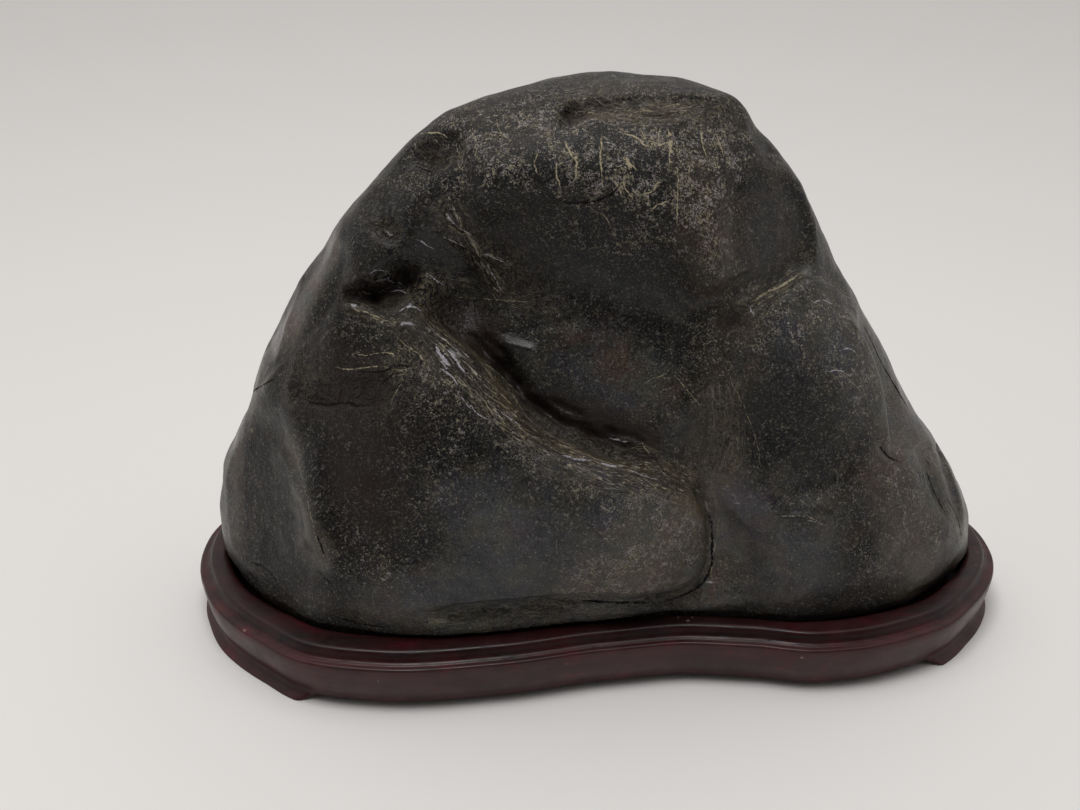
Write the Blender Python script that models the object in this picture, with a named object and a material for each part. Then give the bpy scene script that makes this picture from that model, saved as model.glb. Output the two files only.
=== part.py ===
"""A scholar's rock: one dark, water-worn stone resting in its carved wooden stand.

Lengths are in millimetres and turn into metres when a mesh is made. +Z is up, the front faces
-Y, and the origin is on the ground under the middle of the stand.
"""
import math

import bmesh
import bpy
import numpy as np
from mathutils import Vector, noise
from mathutils.bvhtree import BVHTree

MM = 0.001

# ---- stand: driving dimensions ----
STAND_WIDTH = 280.0
STAND_DEPTH = 130.0
STAND_TOP = 22.0
APRON_BOTTOM = 2.2
FOOT_THICKNESS = 11.0
SOLE_STEP = 1.5

# The seat is the rim's plan drawn in to these shares of the stand's width and depth.
SEAT_FLOOR = 11.6
SEAT_ACROSS = 0.925
SEAT_DEEP = 0.80
# The seat's edge: how far below the stand's top, and how far outside the seat's wall.
SEAT_EDGE = ((2.0, 0.0), (1.2, 0.8))
# The stone keeps this far inside the seat's wall, up to this far above the stand's top.
SEAT_GAP = 1.2
SEAT_REACH = 1.0

# Plan of the rim: an ellipse of the stand's width and depth times these shares, by angle in
# degrees (0 is the right end, 90 the back, 270 the front).
RIM_SHARES = (
    (0, 1.00), (14, 1.01), (30, 1.035), (50, 1.05), (75, 1.01), (90, 1.00), (105, 1.01),
    (130, 1.05), (150, 1.035), (166, 1.01), (180, 1.00), (195, 1.013), (212, 1.065), (224, 1.11),
    (234, 1.158), (243, 1.121), (256, 0.983), (270, 0.85), (282, 0.815), (293, 0.885),
    (300, 0.99), (309, 1.035), (320, 1.045), (334, 1.015), (347, 1.003),
)

# The side of the stand from its top edge down: inset from the rim, height.
SIDE_PROFILE = (
    (4.7, 22.0), (4.0, 21.6), (3.3, 19.4), (2.3, 18.4), (2.0, 18.1), (0.4, 17.9), (0.0, 17.4),
    (0.0, 14.6), (0.9, 9.8), (2.2, 6.0),
)
# Below that, the plain apron ends at its bottom edge and a foot flares out to its toe.
APRON_END = ((2.9, 4.2), (3.4, 3.0), (3.6, APRON_BOTTOM))
FOOT_END = ((3.2, 3.4), (1.6, 1.2), (0.2, 0.0))

# Each foot wraps round an end: the angles where it starts and stops, in degrees.
FEET = ((138.0, 235.0), (-41.0, 42.0))
FOOT_EDGE = 3.5
# Stations round the stand, in degrees: even ones, and closer ones over each foot's edges.
STATION = 6.0
EDGE_STATIONS = (0.0, 0.25, 0.5, 0.75, 1.0)
STATION_GAP = 0.6
SHARP_EDGE = math.radians(32)

# ---- stone: driving dimensions ----
# Level sections from the underside to the top: share of the way round the profile, height,
# then where the section ends at the left, right, front and back.
STONE_LEVELS = (
    (0.00, 12.0, 0.0, 0.0, 0.0, 0.0),
    (0.10, 12.0, -70.0, 68.0, -26.0, 28.0),
    (0.19, 12.6, -112.0, 108.0, -42.0, 44.0),
    (0.24, 16.0, -125.0, 122.5, -48.5, 50.0),
    (0.28, 22.6, -129.5, 128.0, -51.5, 53.0),
    (0.34, 34.0, -131.5, 129.5, -52.0, 57.5),
    (0.41, 50.0, -129.5, 123.0, -50.0, 58.0),
    (0.49, 70.0, -123.0, 111.0, -47.0, 56.0),
    (0.57, 93.0, -113.5, 97.0, -41.0, 53.0),
    (0.65, 116.0, -99.5, 82.0, -35.0, 48.0),
    (0.73, 138.0, -84.0, 69.5, -29.0, 43.0),
    (0.80, 156.0, -70.5, 59.0, -22.0, 37.0),
    (0.86, 169.0, -58.0, 50.0, -15.0, 31.0),
    (0.92, 178.2, -43.0, 42.5, -6.0, 24.0),
    (0.96, 182.0, -24.0, 32.0, 2.0, 17.0),
    (1.00, 183.2, 5.0, 5.0, 9.0, 9.0),
)
# The sections are ellipses whose angle is turned by this share of the sine of its double, and
# at these heights they follow the stand's rim by these shares.
CORNER_TURN = 0.2
RIM_LIKE = ((12.0, 1.0), (34.0, 0.9), (80.0, 0.35), (130.0, 0.0))
STONE_CELLS = 90
STONE_TRIANGLES = 6800

# Marks are placed as seen from the front, looking 30 degrees down: across, then up the view,
# from the origin. Each has a depth (negative stands out), how far it reaches on the left hand
# and on the right hand of its path, how flat-bottomed it is, the share of its length over
# which its ends fade, and its path.
VIEW_DOWN = math.radians(30)
FORMS = (
    ("lower lobe", -8.0, 30, 32, 2.2, 0.0, ((-58, 42), (-30, 28), (2, 19))),
    ("lobe's end", -2.0, 15, 15, 2.2, 0.0, ((4, 32), (14, 22))),
    ("right shoulder", -5.0, 22, 22, 2.2, 0.0, ((58, 88), (70, 80))),
    ("right foot", -4.0, 18, 18, 2.2, 0.0, ((64, 16), (80, 18))),
    ("brow", -6.5, 7, 20, 2.2, 0.1, ((34, 98), (23, 116), (6, 128), (-22, 132), (-44, 128))),
    ("central face", 12.0, 20, 21, 2.2, 0.0, ((-38, 104), (-18, 100), (8, 94))),
    ("valley", 8.0, 13, 10, 1.6, 0.25, ((20, 66), (29, 52), (34, 41), (39, 26), (42, 10), (43, 2))),
    ("right facet", 3.0, 15, 15, 4.0, 0.0, ((50, 124), (52, 112))),
    ("right hollow", 2.5, 17, 17, 2.2, 0.0, ((56, 54), (74, 50))),
    ("left facet", 3.0, 15, 15, 4.0, 0.0, ((-92, 108), (-98, 90))),
    ("lobe's dim hollow", 3.5, 15, 15, 2.2, 0.0, ((-74, 46), (-60, 32))),
    ("left cheek", 3.0, 13, 13, 2.4, 0.0, ((-110, 44), (-112, 26))),
    ("crown notch", 2.5, 8, 8, 2.0, 0.0, ((47, 151), (50, 145))),
)
# Flat places worn on the front: depth, reach, how far the plane leans to the right and upwards
# from the surface's own lie, and its place.
FACETS = (
    ("left flank", 3.2, 24, -0.25, 0.10, (-93, 99)),
    ("left cheek", 2.2, 24, -0.10, 0.0, (-110, 37)),
    ("right facet", 2.6, 17, 0.0, 0.0, (48, 119)),
    ("right face", 1.0, 22, 0.05, 0.0, (63, 62)),
    ("right lobe's top", 1.6, 18, 0.0, 0.15, (59, 90)),
    ("right flank", 1.8, 24, 0.10, 0.0, (100, 47)),
    ("right foot", 1.2, 18, 0.0, -0.05, (62, 13)),
    ("crown's right", 1.4, 15, 0.10, 0.10, (35, 146)),
    ("lobe's face", 1.4, 22, 0.0, 0.0, (-33, 25)),
    ("lobe's left", 1.6, 20, -0.10, 0.0, (-73, 31)),
    ("lobe's shoulder", 1.4, 14, 0.0, 0.25, (-57, 72)),
    ("left shoulder", 1.6, 14, -0.10, 0.10, (-62, 131)),
)
# Cuts that go straight in, away from the viewer.
CUTS = (
    ("undercut", 8.0, 26, 2.0, 2.0, 0.10, (
        (-61, 99), (-52, 93), (-45, 88), (-37, 81), (-31, 73), (-25, 66), (-17, 61), (-9, 56),
        (0, 52), (16, 47))),
    ("deep hollow", 9.0, 6.5, 7.0, 3.0, 0.0, ((-68, 102), (-63, 105), (-59, 107))),
    ("hollow's end", 3.0, 3.5, 3.5, 2.4, 0.0, ((-77, 101), (-72, 101))),
    ("bowl", 4.0, 11, 11, 2.6, 0.0, ((-52, 109), (-46, 104))),
    ("crevice", 5.0, 3.4, 1.8, 2.4, 0.12, (
        (-46, 90), (-41, 86), (-35, 81), (-30, 74), (-24, 68), (-17, 63), (-8, 59), (1, 55),
        (9, 52), (17, 48))),
)
DETAILS = (
    ("lobe's lip", -2.0, 1.6, 8, 1.3, 0.2, (
        (-58, 94), (-51, 87), (-43, 81), (-36, 76), (-30, 69), (-24, 62), (-15, 57), (-5, 53),
        (6, 49), (16, 45))),
    ("knob", -2.4, 12, 12, 2.4, 0.0, ((-5, 142), (8, 142))),
    ("knob's underside", 1.6, 2.5, 7, 1.8, 0.3, ((-15, 126), (-8, 127), (-2, 128), (5, 133))),
    ("top pit", 1.8, 6, 6, 3.0, 0.0, ((-9, 153), (-5, 154))),
    ("facet ledge", 2.4, 12, 1.4, 2.0, 0.15, ((38, 92), (44, 97), (51, 101), (59, 107), (71, 106), (78, 99))),
    ("ledge pit", 2.2, 3.5, 3.5, 2.4, 0.0, ((38, 93), (42, 93))),
    ("seam", 1.1, 2.5, 2.5, 1.3, 0.15, (
        (42, 148), (38, 128), (36, 110), (35, 92), (36, 81), (39, 69), (44, 56), (47, 44), (50, 31))),
    ("left ridge", -2.0, 7, 7, 1.6, 0.2, ((-78, 98), (-89, 86), (-96, 73), (-101, 59))),
    ("pale ridge", -2.6, 7, 7, 1.5, 0.2, ((-103, 60), (-98, 47), (-94, 34), (-90, 20))),
    ("lobe's left ridge", -1.4, 5, 5, 1.6, 0.2, ((-91, 62), (-91, 47), (-88, 28), (-83, 10))),
    ("left notch", 2.4, 13, 1.4, 2.4, 0.12, (
        (-98, 70), (-90, 68), (-85, 67), (-80, 68), (-70, 68), (-63, 71))),
    ("oval pit", 3.0, 5.5, 5.5, 4.0, 0.0, ((-59, 142), (-50, 144))),
    ("small pit", 2.2, 3.6, 3.6, 3.0, 0.0, ((-67, 121), (-65, 118))),
    ("right ridge", -1.2, 2.5, 8, 1.6, 0.15, ((74, 100), (80, 92), (84, 85), (88, 69), (90, 52))),
    ("right scoop", 2.8, 10, 1.8, 2.0, 0.2, ((76, 94), (80, 86), (84, 77), (87, 68), (89, 59), (90, 50))),
    ("low ledge", -1.1, 1.3, 6, 1.7, 0.4, ((48, 34), (60, 33), (68, 31), (80, 26))),
    ("lobe's right edge", 3.2, 6, 2.0, 1.8, 0.15, ((25, 44), (32, 31), (34, 23), (34, 14), (28, 7), (16, 4))),
    ("lobe's underside", 4.0, 6, 1.8, 1.8, 0.15, (
        (28, 7), (16, 4), (-1, 3), (-14, 2), (-33, 0), (-49, -3), (-72, -5))),
)
# Marks on the hidden side, placed in the same way as seen from the back.
BACK_FORMS = (
    ("back belly", -4.0, 34, 34, 2.2, 0.0, ((-45, 36), (20, 44))),
    ("back hollow", 6.0, 24, 24, 2.2, 0.0, ((40, 88), (10, 78))),
    ("back facet", 3.0, 20, 20, 4.0, 0.0, ((-52, 96), (-44, 84))),
    ("back crown", -3.0, 16, 16, 2.2, 0.0, ((-14, 138), (12, 140))),
)
BACK_DETAILS = (
    ("back crease", 2.6, 2.0, 8, 1.6, 0.25, ((-34, 120), (-12, 106), (6, 92), (30, 84), (62, 62))),
    ("back step", 2.0, 7, 1.4, 1.6, 0.3, ((-96, 60), (-66, 52), (-40, 58), (-20, 50))),
    ("back pit", 2.4, 4.5, 4.5, 3.0, 0.0, ((58, 110), (54, 106))),
    ("back seam", 1.0, 2.2, 2.2, 1.4, 0.3, ((84, 78), (70, 50), (66, 24))),
)
# A mark is felt out to this many times its reach, and its path is laid at this spacing.
MARK_EXTENT = 2.2
PATH_SPACING = 3.0
VIEW_DISTANCE = 400.0
# A facet fades out over this last share of its reach.
FACET_FADE = 0.35
# Water-worn swells over the whole stone: spacing and height.
SWELLS = ((55.0, 3.0), (22.0, 1.1), (9.0, 0.4))
SOFTENING = 2


def smooth_curve(at, keys, values):
    """A smooth curve through (keys, values) that never overshoots them, read at the given places."""
    keys = np.asarray(keys, float)
    values = np.asarray(values, float)
    steps = np.diff(keys)
    slopes = np.diff(values) / steps
    tangents = np.empty_like(values)
    tangents[0] = slopes[0]
    tangents[-1] = slopes[-1]
    before = slopes[:-1]
    after = slopes[1:]
    total = before + after
    same_way = before * after > 0.0
    tangents[1:-1] = np.where(same_way, 2.0 * before * after / np.where(same_way, total, 1.0), 0.0)
    at = np.clip(at, keys[0], keys[-1])
    span = np.clip(np.searchsorted(keys, at, side="right") - 1, 0, len(steps) - 1)
    t = (at - keys[span]) / steps[span]
    start = values[span]
    end = values[span + 1]
    lean_in = tangents[span] * steps[span]
    lean_out = tangents[span + 1] * steps[span]
    return (start * (1 + 2 * t) * (1 - t) ** 2 + lean_in * t * (1 - t) ** 2
            + end * t * t * (3 - 2 * t) - lean_out * t * t * (1 - t))


def ease(share):
    """0 to 1 with level ends."""
    share = np.clip(share, 0, 1)
    return share * share * (3 - 2 * share)


def rim_share(angle):
    """How far the rim's plan stands out from its ellipse at an angle in radians."""
    degrees = np.degrees(angle) % 360.0
    keys = [key for key, share in RIM_SHARES]
    shares = [share for key, share in RIM_SHARES]
    keys = [keys[-1] - 360.0] + keys + [360.0, 360.0 + keys[1]]
    shares = [shares[-1]] + shares + [shares[0], shares[1]]
    return smooth_curve(degrees, keys, shares)


def sphere(cells):
    """A unit sphere of nearly square cells: a cube cut into a grid and blown up."""
    bm = bmesh.new()
    bmesh.ops.create_cube(bm, size=2.0)
    bmesh.ops.subdivide_edges(bm, edges=bm.edges[:], cuts=cells - 1, use_grid_fill=True)
    mesh = bpy.data.meshes.new("stone")
    bm.to_mesh(mesh)
    bm.free()
    points = np.empty(len(mesh.vertices) * 3)
    mesh.vertices.foreach_get("co", points)
    points = np.tan(points.reshape(-1, 3) * math.pi / 4)
    points /= np.linalg.norm(points, axis=1)[:, None]
    return mesh, points


def stone_body(directions):
    """The stone's plain body: the level sections, lofted over a sphere's directions."""
    share = 1.0 - np.arccos(np.clip(directions[:, 2], -1, 1)) / math.pi
    around = np.arctan2(directions[:, 1], directions[:, 0])
    angle = around + CORNER_TURN * np.sin(2 * around)
    table = np.array(STONE_LEVELS)
    height, left, right, front, back = (smooth_curve(share, table[:, 0], table[:, column])
                                        for column in range(1, 6))
    rim_like = smooth_curve(height, *zip(*RIM_LIKE))
    swell = 1 + rim_like * (rim_share(angle) - 1)
    x = (left + right) / 2 + (right - left) / 2 * np.cos(angle) * swell
    y = (front + back) / 2 + (back - front) / 2 * np.sin(angle) * swell
    return np.stack([x, y, height], axis=1)


def seat_limit(points):
    """Draws what lies inside the seat in from the seat's wall."""
    half_width = STAND_WIDTH / 2 * SEAT_ACROSS - SEAT_GAP
    half_depth = STAND_DEPTH / 2 * SEAT_DEEP - SEAT_GAP
    angle = np.arctan2(points[:, 1] / half_depth, points[:, 0] / half_width)
    spread = np.hypot(points[:, 0] / half_width, points[:, 1] / half_depth) / rim_share(angle)
    inside = points[:, 2] < STAND_TOP + SEAT_REACH
    tight = np.where(inside, np.minimum(1.0, 1.0 / np.maximum(spread, 1e-6)), 1.0)
    points[:, :2] *= tight[:, None]
    points[:, 2] = np.maximum(points[:, 2], STONE_LEVELS[0][1])


def set_points(mesh, points):
    mesh.vertices.foreach_set("co", (points * MM).ravel())
    mesh.update()


def get_normals(mesh):
    normals = np.empty(len(mesh.vertices) * 3)
    mesh.vertices.foreach_get("normal", normals)
    return normals.reshape(-1, 3)


def surface_finder(mesh):
    """A search tree over the mesh, in millimetres."""
    bm = bmesh.new()
    bm.from_mesh(mesh)
    bmesh.ops.scale(bm, vec=(1 / MM,) * 3, verts=bm.verts[:])
    tree = BVHTree.FromBMesh(bm)
    bm.free()
    return tree


def view_way(side):
    """The way a viewer at the front (side 1) or the back (-1) looks."""
    return Vector((0, side * math.cos(VIEW_DOWN), -math.sin(VIEW_DOWN)))


def find_place(tree, place, side):
    """The point of the stone seen at a place, and its normal."""
    across, up = place
    way = view_way(side)
    upward = Vector((0, side * math.sin(VIEW_DOWN), math.cos(VIEW_DOWN)))
    start = Vector((side * across, 0, 0)) + upward * up - way * VIEW_DISTANCE
    point, normal, face, distance = tree.ray_cast(start, way)
    if point is None:
        point, normal, face, distance = tree.find_nearest(start + way * VIEW_DISTANCE)
    return np.array(point), np.array(normal)


def lay_path(tree, path, side):
    """The path's points laid on the stone, closely spaced, with the surface's normals."""
    path = np.array(path, float)
    legs = np.linalg.norm(np.diff(path, axis=0), axis=1)
    along = np.concatenate([[0.0], np.cumsum(legs)])
    fine = np.linspace(0, along[-1], max(3, int(along[-1] / PATH_SPACING)))
    path = np.stack([smooth_curve(fine, along, path[:, axis]) for axis in (0, 1)], axis=1)
    places, normals = zip(*(find_place(tree, place, side) for place in path))
    return np.array(places), np.array(normals)


def measure(points, places, outward, reach):
    """Distance from a laid path, its side (+1 is the right hand) and the share along it."""
    low = places.min(axis=0) - reach
    high = places.max(axis=0) + reach
    near = np.nonzero(np.all((points > low) & (points < high), axis=1))[0]
    some = points[near]
    starts = places[:-1]
    legs = places[1:] - starts
    lengths = np.linalg.norm(legs, axis=1)
    along = np.concatenate([[0.0], np.cumsum(lengths)])
    offset = some[:, None, :] - starts[None]
    share = np.clip((offset * legs).sum(axis=2) / lengths ** 2, 0, 1)
    offset = offset - share[:, :, None] * legs
    distances = np.linalg.norm(offset, axis=2)
    leg = distances.argmin(axis=1)
    pick = np.arange(len(near))
    right_hand = np.cross(legs, outward[:-1])[leg]
    side = np.sign((offset[pick, leg] * right_hand).sum(axis=1))
    travelled = (along[leg] + share[pick, leg] * lengths[leg]) / along[-1]
    return near, distances[pick, leg], side, travelled


def press(mesh, points, marks, side=1, straight=False):
    """Presses marks into the front (side 1) or the back (-1), or raises them.

    They go along the stone's normals, or straight away from the viewer.
    """
    tree = surface_finder(mesh)
    normals = get_normals(mesh)
    shift = np.zeros(len(points))
    for name, depth, left, right, flatness, fade, path in marks:
        places, outward = lay_path(tree, path, side)
        near, distance, hand, travelled = measure(points, places, outward, MARK_EXTENT * max(left, right))
        reach = np.where(hand > 0, right, left)
        strength = depth * np.exp(-(distance / reach) ** flatness)
        if fade:
            strength = strength * ease(np.minimum(travelled, 1 - travelled) / fade)
        facing = np.clip((normals[near] * outward.mean(axis=0)).sum(axis=1) * 2, 0, 1)
        shift[near] += strength * facing
    inward = np.array(view_way(side)) if straight else -normals
    points += inward * shift[:, None]
    set_points(mesh, points)


def wear_flat(mesh, points, facets, side=1):
    """Wears flat places on the stone, each ending in a crisp edge."""
    tree = surface_finder(mesh)
    normals = get_normals(mesh)
    for name, depth, reach, lean_right, lean_up, place in facets:
        centre, outward = find_place(tree, place, side)
        distance = np.linalg.norm(points - centre, axis=1)
        around = distance < reach / 2
        outward = normals[around].mean(axis=0) + (lean_right, 0, lean_up)
        outward /= np.linalg.norm(outward)
        level = (points[around] @ outward).max() - depth
        proud = np.maximum(points @ outward - level, 0)
        proud *= ease((1 + FACET_FADE - distance / reach) / FACET_FADE)
        points -= proud[:, None] * outward
    set_points(mesh, points)


def principled(name, color, roughness):
    material = bpy.data.materials.new(name)
    material.use_nodes = True
    shader = material.node_tree.nodes["Principled BSDF"]
    shader.inputs["Base Color"].default_value = (*color, 1.0)
    shader.inputs["Roughness"].default_value = roughness
    material.diffuse_color = (*color, 1.0)
    return material


def roughen(mesh, points, swells):
    """Raises soft, uneven swells along the surface's normals."""
    normals = get_normals(mesh)
    for spacing, height in swells:
        lift = [noise.noise(Vector(point) / spacing) for point in points]
        points += normals * (np.array(lift) * height)[:, None]
    set_points(mesh, points)


def soften(mesh, rounds):
    """Rubs the sharpest edges down, as water does."""
    bm = bmesh.new()
    bm.from_mesh(mesh)
    for turn in range(rounds):
        bmesh.ops.smooth_vert(bm, verts=bm.verts[:], factor=0.5,
                              use_axis_x=True, use_axis_y=True, use_axis_z=True)
    bm.to_mesh(mesh)
    bm.free()


def make_stone():
    mesh, directions = sphere(STONE_CELLS)
    points = stone_body(directions)
    set_points(mesh, points)
    roughen(mesh, points, SWELLS)
    press(mesh, points, FORMS)
    press(mesh, points, BACK_FORMS, side=-1)
    wear_flat(mesh, points, FACETS)
    press(mesh, points, CUTS, straight=True)
    press(mesh, points, DETAILS)
    press(mesh, points, BACK_DETAILS, side=-1)
    seat_limit(points)
    set_points(mesh, points)
    soften(mesh, SOFTENING)
    mesh.shade_smooth()
    mesh.materials.append(principled("dark stone", (0.021, 0.022, 0.020), 0.42))
    stone = bpy.data.objects.new("stone", mesh)
    thin = stone.modifiers.new("thin out", "DECIMATE")
    thin.ratio = STONE_TRIANGLES / (2.0 * len(mesh.polygons))
    return stone


def rim_point(angle, inset, height):
    """A point of the stand: on the rim's plan, drawn in square to it by the inset."""
    step = 1e-3
    ends = []
    for turn in (angle - step, angle, angle + step):
        share = rim_share(turn)
        ends.append(np.array([STAND_WIDTH / 2 * share * math.cos(turn),
                              STAND_DEPTH / 2 * share * math.sin(turn)]))
    run = ends[2] - ends[0]
    inward = np.array([-run[1], run[0]]) / np.linalg.norm(run)
    x, y = ends[1] + inward * inset
    return Vector((x, y, height))


def seat_point(angle, height, inset=0.0):
    share = rim_share(angle)
    x = (STAND_WIDTH / 2 * SEAT_ACROSS - inset) * share * math.cos(angle)
    y = (STAND_DEPTH / 2 * SEAT_DEEP - inset) * share * math.sin(angle)
    return Vector((x, y, height))


def foot_share(angle):
    """1 on a foot, 0 on the plain apron, with a short ogee between them."""
    share = 0.0
    for start, stop in FEET:
        degrees = (math.degrees(angle) - start) % 360.0 + start
        share = max(share, float(ease(min(degrees - start, stop - degrees) / FOOT_EDGE)))
    return share


def stand_angles():
    """The stations round the stand, in radians."""
    stations = set(np.arange(0.0, 360.0, STATION))
    for start, stop in FEET:
        for end, way in ((start, 1), (stop, -1)):
            stations.update((end + way * step * FOOT_EDGE) % 360.0 for step in EDGE_STATIONS)
    stations = sorted(stations)
    kept = [stations[0]]
    for station in stations[1:]:
        if station - kept[-1] > STATION_GAP:
            kept.append(station)
    return [math.radians(station) for station in kept]


def stand_section(angle):
    """The stand's section at one station, from the seat floor out, down and in underneath."""
    foot = foot_share(angle)
    section = [seat_point(angle, SEAT_FLOOR)]
    section += [seat_point(angle, STAND_TOP - drop, -outside) for drop, outside in SEAT_EDGE]
    section += [rim_point(angle, inset, height) for inset, height in SIDE_PROFILE]
    for plain, toe in zip(APRON_END, FOOT_END):
        inset, height = (a + foot * (b - a) for a, b in zip(plain, toe))
        section.append(rim_point(angle, inset, height))
    section.append(rim_point(angle, FOOT_THICKNESS, APRON_BOTTOM * (1 - foot)))
    section.append(rim_point(angle, FOOT_THICKNESS + SOLE_STEP, APRON_BOTTOM))
    return section


def make_stand():
    """A ring drawn out level by level along the stand's section, and closed at both ends."""
    sections = [stand_section(angle) for angle in stand_angles()]
    bm = bmesh.new()
    bmesh.ops.create_circle(bm, segments=len(sections), radius=1.0)
    bm.verts.index_update()
    station = bm.verts.layers.int.new("station")
    for vert in bm.verts:
        vert[station] = vert.index
    rim = bm.verts[:]
    ring = bm.edges[:]
    for level in range(len(sections[0])):
        if level == 0:
            bmesh.ops.edgeloop_fill(bm, edges=ring)
        else:
            drawn = bmesh.ops.extrude_edge_only(bm, edges=ring)["geom"]
            rim = [piece for piece in drawn if isinstance(piece, bmesh.types.BMVert)]
            ring = [piece for piece in drawn if isinstance(piece, bmesh.types.BMEdge)]
        for vert in rim:
            vert.co = sections[vert[station]][level] * MM
    bmesh.ops.edgeloop_fill(bm, edges=ring)
    bmesh.ops.recalc_face_normals(bm, faces=bm.faces[:])
    mesh = bpy.data.meshes.new("stand")
    bm.to_mesh(mesh)
    bm.free()
    mesh.shade_smooth()
    mesh.set_sharp_from_angle(angle=SHARP_EDGE)
    mesh.materials.append(principled("dark wood", (0.034, 0.013, 0.012), 0.34))
    return bpy.data.objects.new("stand", mesh)


def main():
    for thing in list(bpy.data.objects):
        bpy.data.objects.remove(thing, do_unlink=True)
    parts = bpy.data.collections.new("scholars_rock")
    bpy.context.scene.collection.children.link(parts)
    parts.objects.link(make_stone())
    parts.objects.link(make_stand())


main()
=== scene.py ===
"""Looks for a scholar's rock in its carved wooden stand.

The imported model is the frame: the fine stone and the fine stand take the place of its two plain
solids. Shapes are worked out in millimetres and turn into metres when a mesh is made. +Z is up
and the front faces -Y.
"""
import math

import bmesh
import bpy
import numpy as np
from bpy.props import FloatProperty, FloatVectorProperty, PointerProperty
from mathutils import Matrix, Vector, noise
from mathutils.bvhtree import BVHTree


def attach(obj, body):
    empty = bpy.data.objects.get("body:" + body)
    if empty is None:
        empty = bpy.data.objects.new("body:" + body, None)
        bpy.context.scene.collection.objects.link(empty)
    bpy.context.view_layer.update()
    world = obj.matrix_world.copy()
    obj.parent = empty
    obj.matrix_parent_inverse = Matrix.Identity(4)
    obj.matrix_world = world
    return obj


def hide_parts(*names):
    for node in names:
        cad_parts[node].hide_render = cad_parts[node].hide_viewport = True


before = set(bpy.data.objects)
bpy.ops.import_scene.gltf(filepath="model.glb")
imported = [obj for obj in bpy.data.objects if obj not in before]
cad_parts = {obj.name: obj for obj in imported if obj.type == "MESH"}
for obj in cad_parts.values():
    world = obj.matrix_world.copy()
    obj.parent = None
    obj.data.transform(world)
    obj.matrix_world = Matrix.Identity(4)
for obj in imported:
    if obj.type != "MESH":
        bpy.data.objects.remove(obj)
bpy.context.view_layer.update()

bl_info = {
    "name": "Scholar's Rock",
    "version": (1, 0, 0),
    "blender": (4, 5, 0),
    "location": "3D View > Sidebar > Scholar's Rock",
    "description": "A water-worn viewing stone resting in a carved wooden stand",
    "category": "Add Mesh",
}

MM = 0.001

# ---- the front view: where the camera stands ----
VIEW_WIDTH = 1080
VIEW_HEIGHT = 810
CAMERA_PLACE = (-0.0202, -0.4057, 0.3116)
CAMERA_TILT = math.radians(60)
CAMERA_NEAR = 0.01
FOCAL_PIXELS = 1400.0
SENSOR_WIDTH = 36.0

# ---- stage ----
FLOOR_ROUGHNESS = 0.75
TOP_LIGHT_PLACE = (-0.10, -0.22, 1.2)
TOP_LIGHT_AIM = (0.0, 0.0, 0.08)
TOP_LIGHT_SIZE = (0.5, 0.4)
SKY_COLOUR = (1.0, 0.97, 0.955, 1.0)
SKY_BEHIND_STAGE = 0.62
DIM_SIDE = (0.0, -0.84, 0.54)

# ---- stand ----
STAND_WIDTH = 280.0
STAND_DEPTH = 130.0
STAND_TOP = 22.0
APRON_BOTTOM = 2.2
SEAT_FLOOR = 11.6
SEAT_ACROSS = 0.925
SEAT_DEEP = 0.80
# How far the stone stays from the seat's wall, and up to how far above the stand's top.
SEAT_GAP = 1.2
SEAT_CLEAR = 1.0
FOOT_THICKNESS = 11.0
INNER_SLOPE = 1.5

# Plan of the rim: an ellipse of the stand's width and depth times these shares, by angle in
# degrees (0 is the right end, 90 the back, 270 the front).
RIM_SHARES = (
    (0, 1.00), (14, 1.01), (30, 1.035), (50, 1.05), (75, 1.01), (90, 1.00), (105, 1.01),
    (130, 1.05), (150, 1.035), (166, 1.01), (180, 1.00), (195, 1.013), (212, 1.065), (224, 1.11),
    (234, 1.158), (243, 1.121), (256, 0.983), (270, 0.85), (282, 0.815), (293, 0.885),
    (300, 0.99), (309, 1.035), (320, 1.045), (334, 1.015), (347, 1.003),
)

# The side of the stand from its top edge down: inset from the rim, height. The top board ends
# in a cove and a ledge, then the rim stands out over the apron.
SIDE_PROFILE = (
    (5.6, 22.0), (4.9, 21.9), (4.4, 21.6), (4.1, 21.1), (3.8, 20.4), (3.5, 19.6), (3.1, 18.9),
    (2.7, 18.6), (2.35, 18.45), (2.15, 18.2), (1.9, 18.1), (1.2, 18.05), (0.7, 18.0),
    (0.3, 17.8), (0.08, 17.4), (0.0, 16.9), (0.0, 15.4), (0.1, 14.6), (0.35, 12.8),
    (0.65, 11.0), (1.1, 9.0), (1.6, 7.4), (2.2, 6.0), (2.6, 5.1),
)
APRON_END = ((2.9, 4.2), (3.15, 3.5), (3.4, 3.0), (3.55, 2.5), (3.6, APRON_BOTTOM))
FOOT_END = ((3.2, 3.4), (2.8, 2.2), (1.6, 1.2), (0.55, 0.5), (0.2, 0.0))
# The seat's rounded edge: how far below the stand's top, how far out over the seat's wall.
SEAT_EDGE = ((2.0, 0.0), (1.2, 0.15), (0.7, 0.45), (0.3, 0.9), (0.1, 1.5), (0.02, 2.2))
SEAT_FILLET = 1.0
FEET = ((138.0, 235.0), (-41.0, 42.0))
FOOT_EDGE = 3.5
STAND_STATIONS = 720
# Heights between which the dusty film and painted sheen on the apron come in, and the darker tone
# of the top board.
DUST_AND_SHEEN_TOP = 18.5
DUST_AND_SHEEN_FULL = 16.5
BOARD_FOOT = 18.3
BOARD_FULL = 19.5
STAND_SHARP = math.radians(50)

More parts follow.
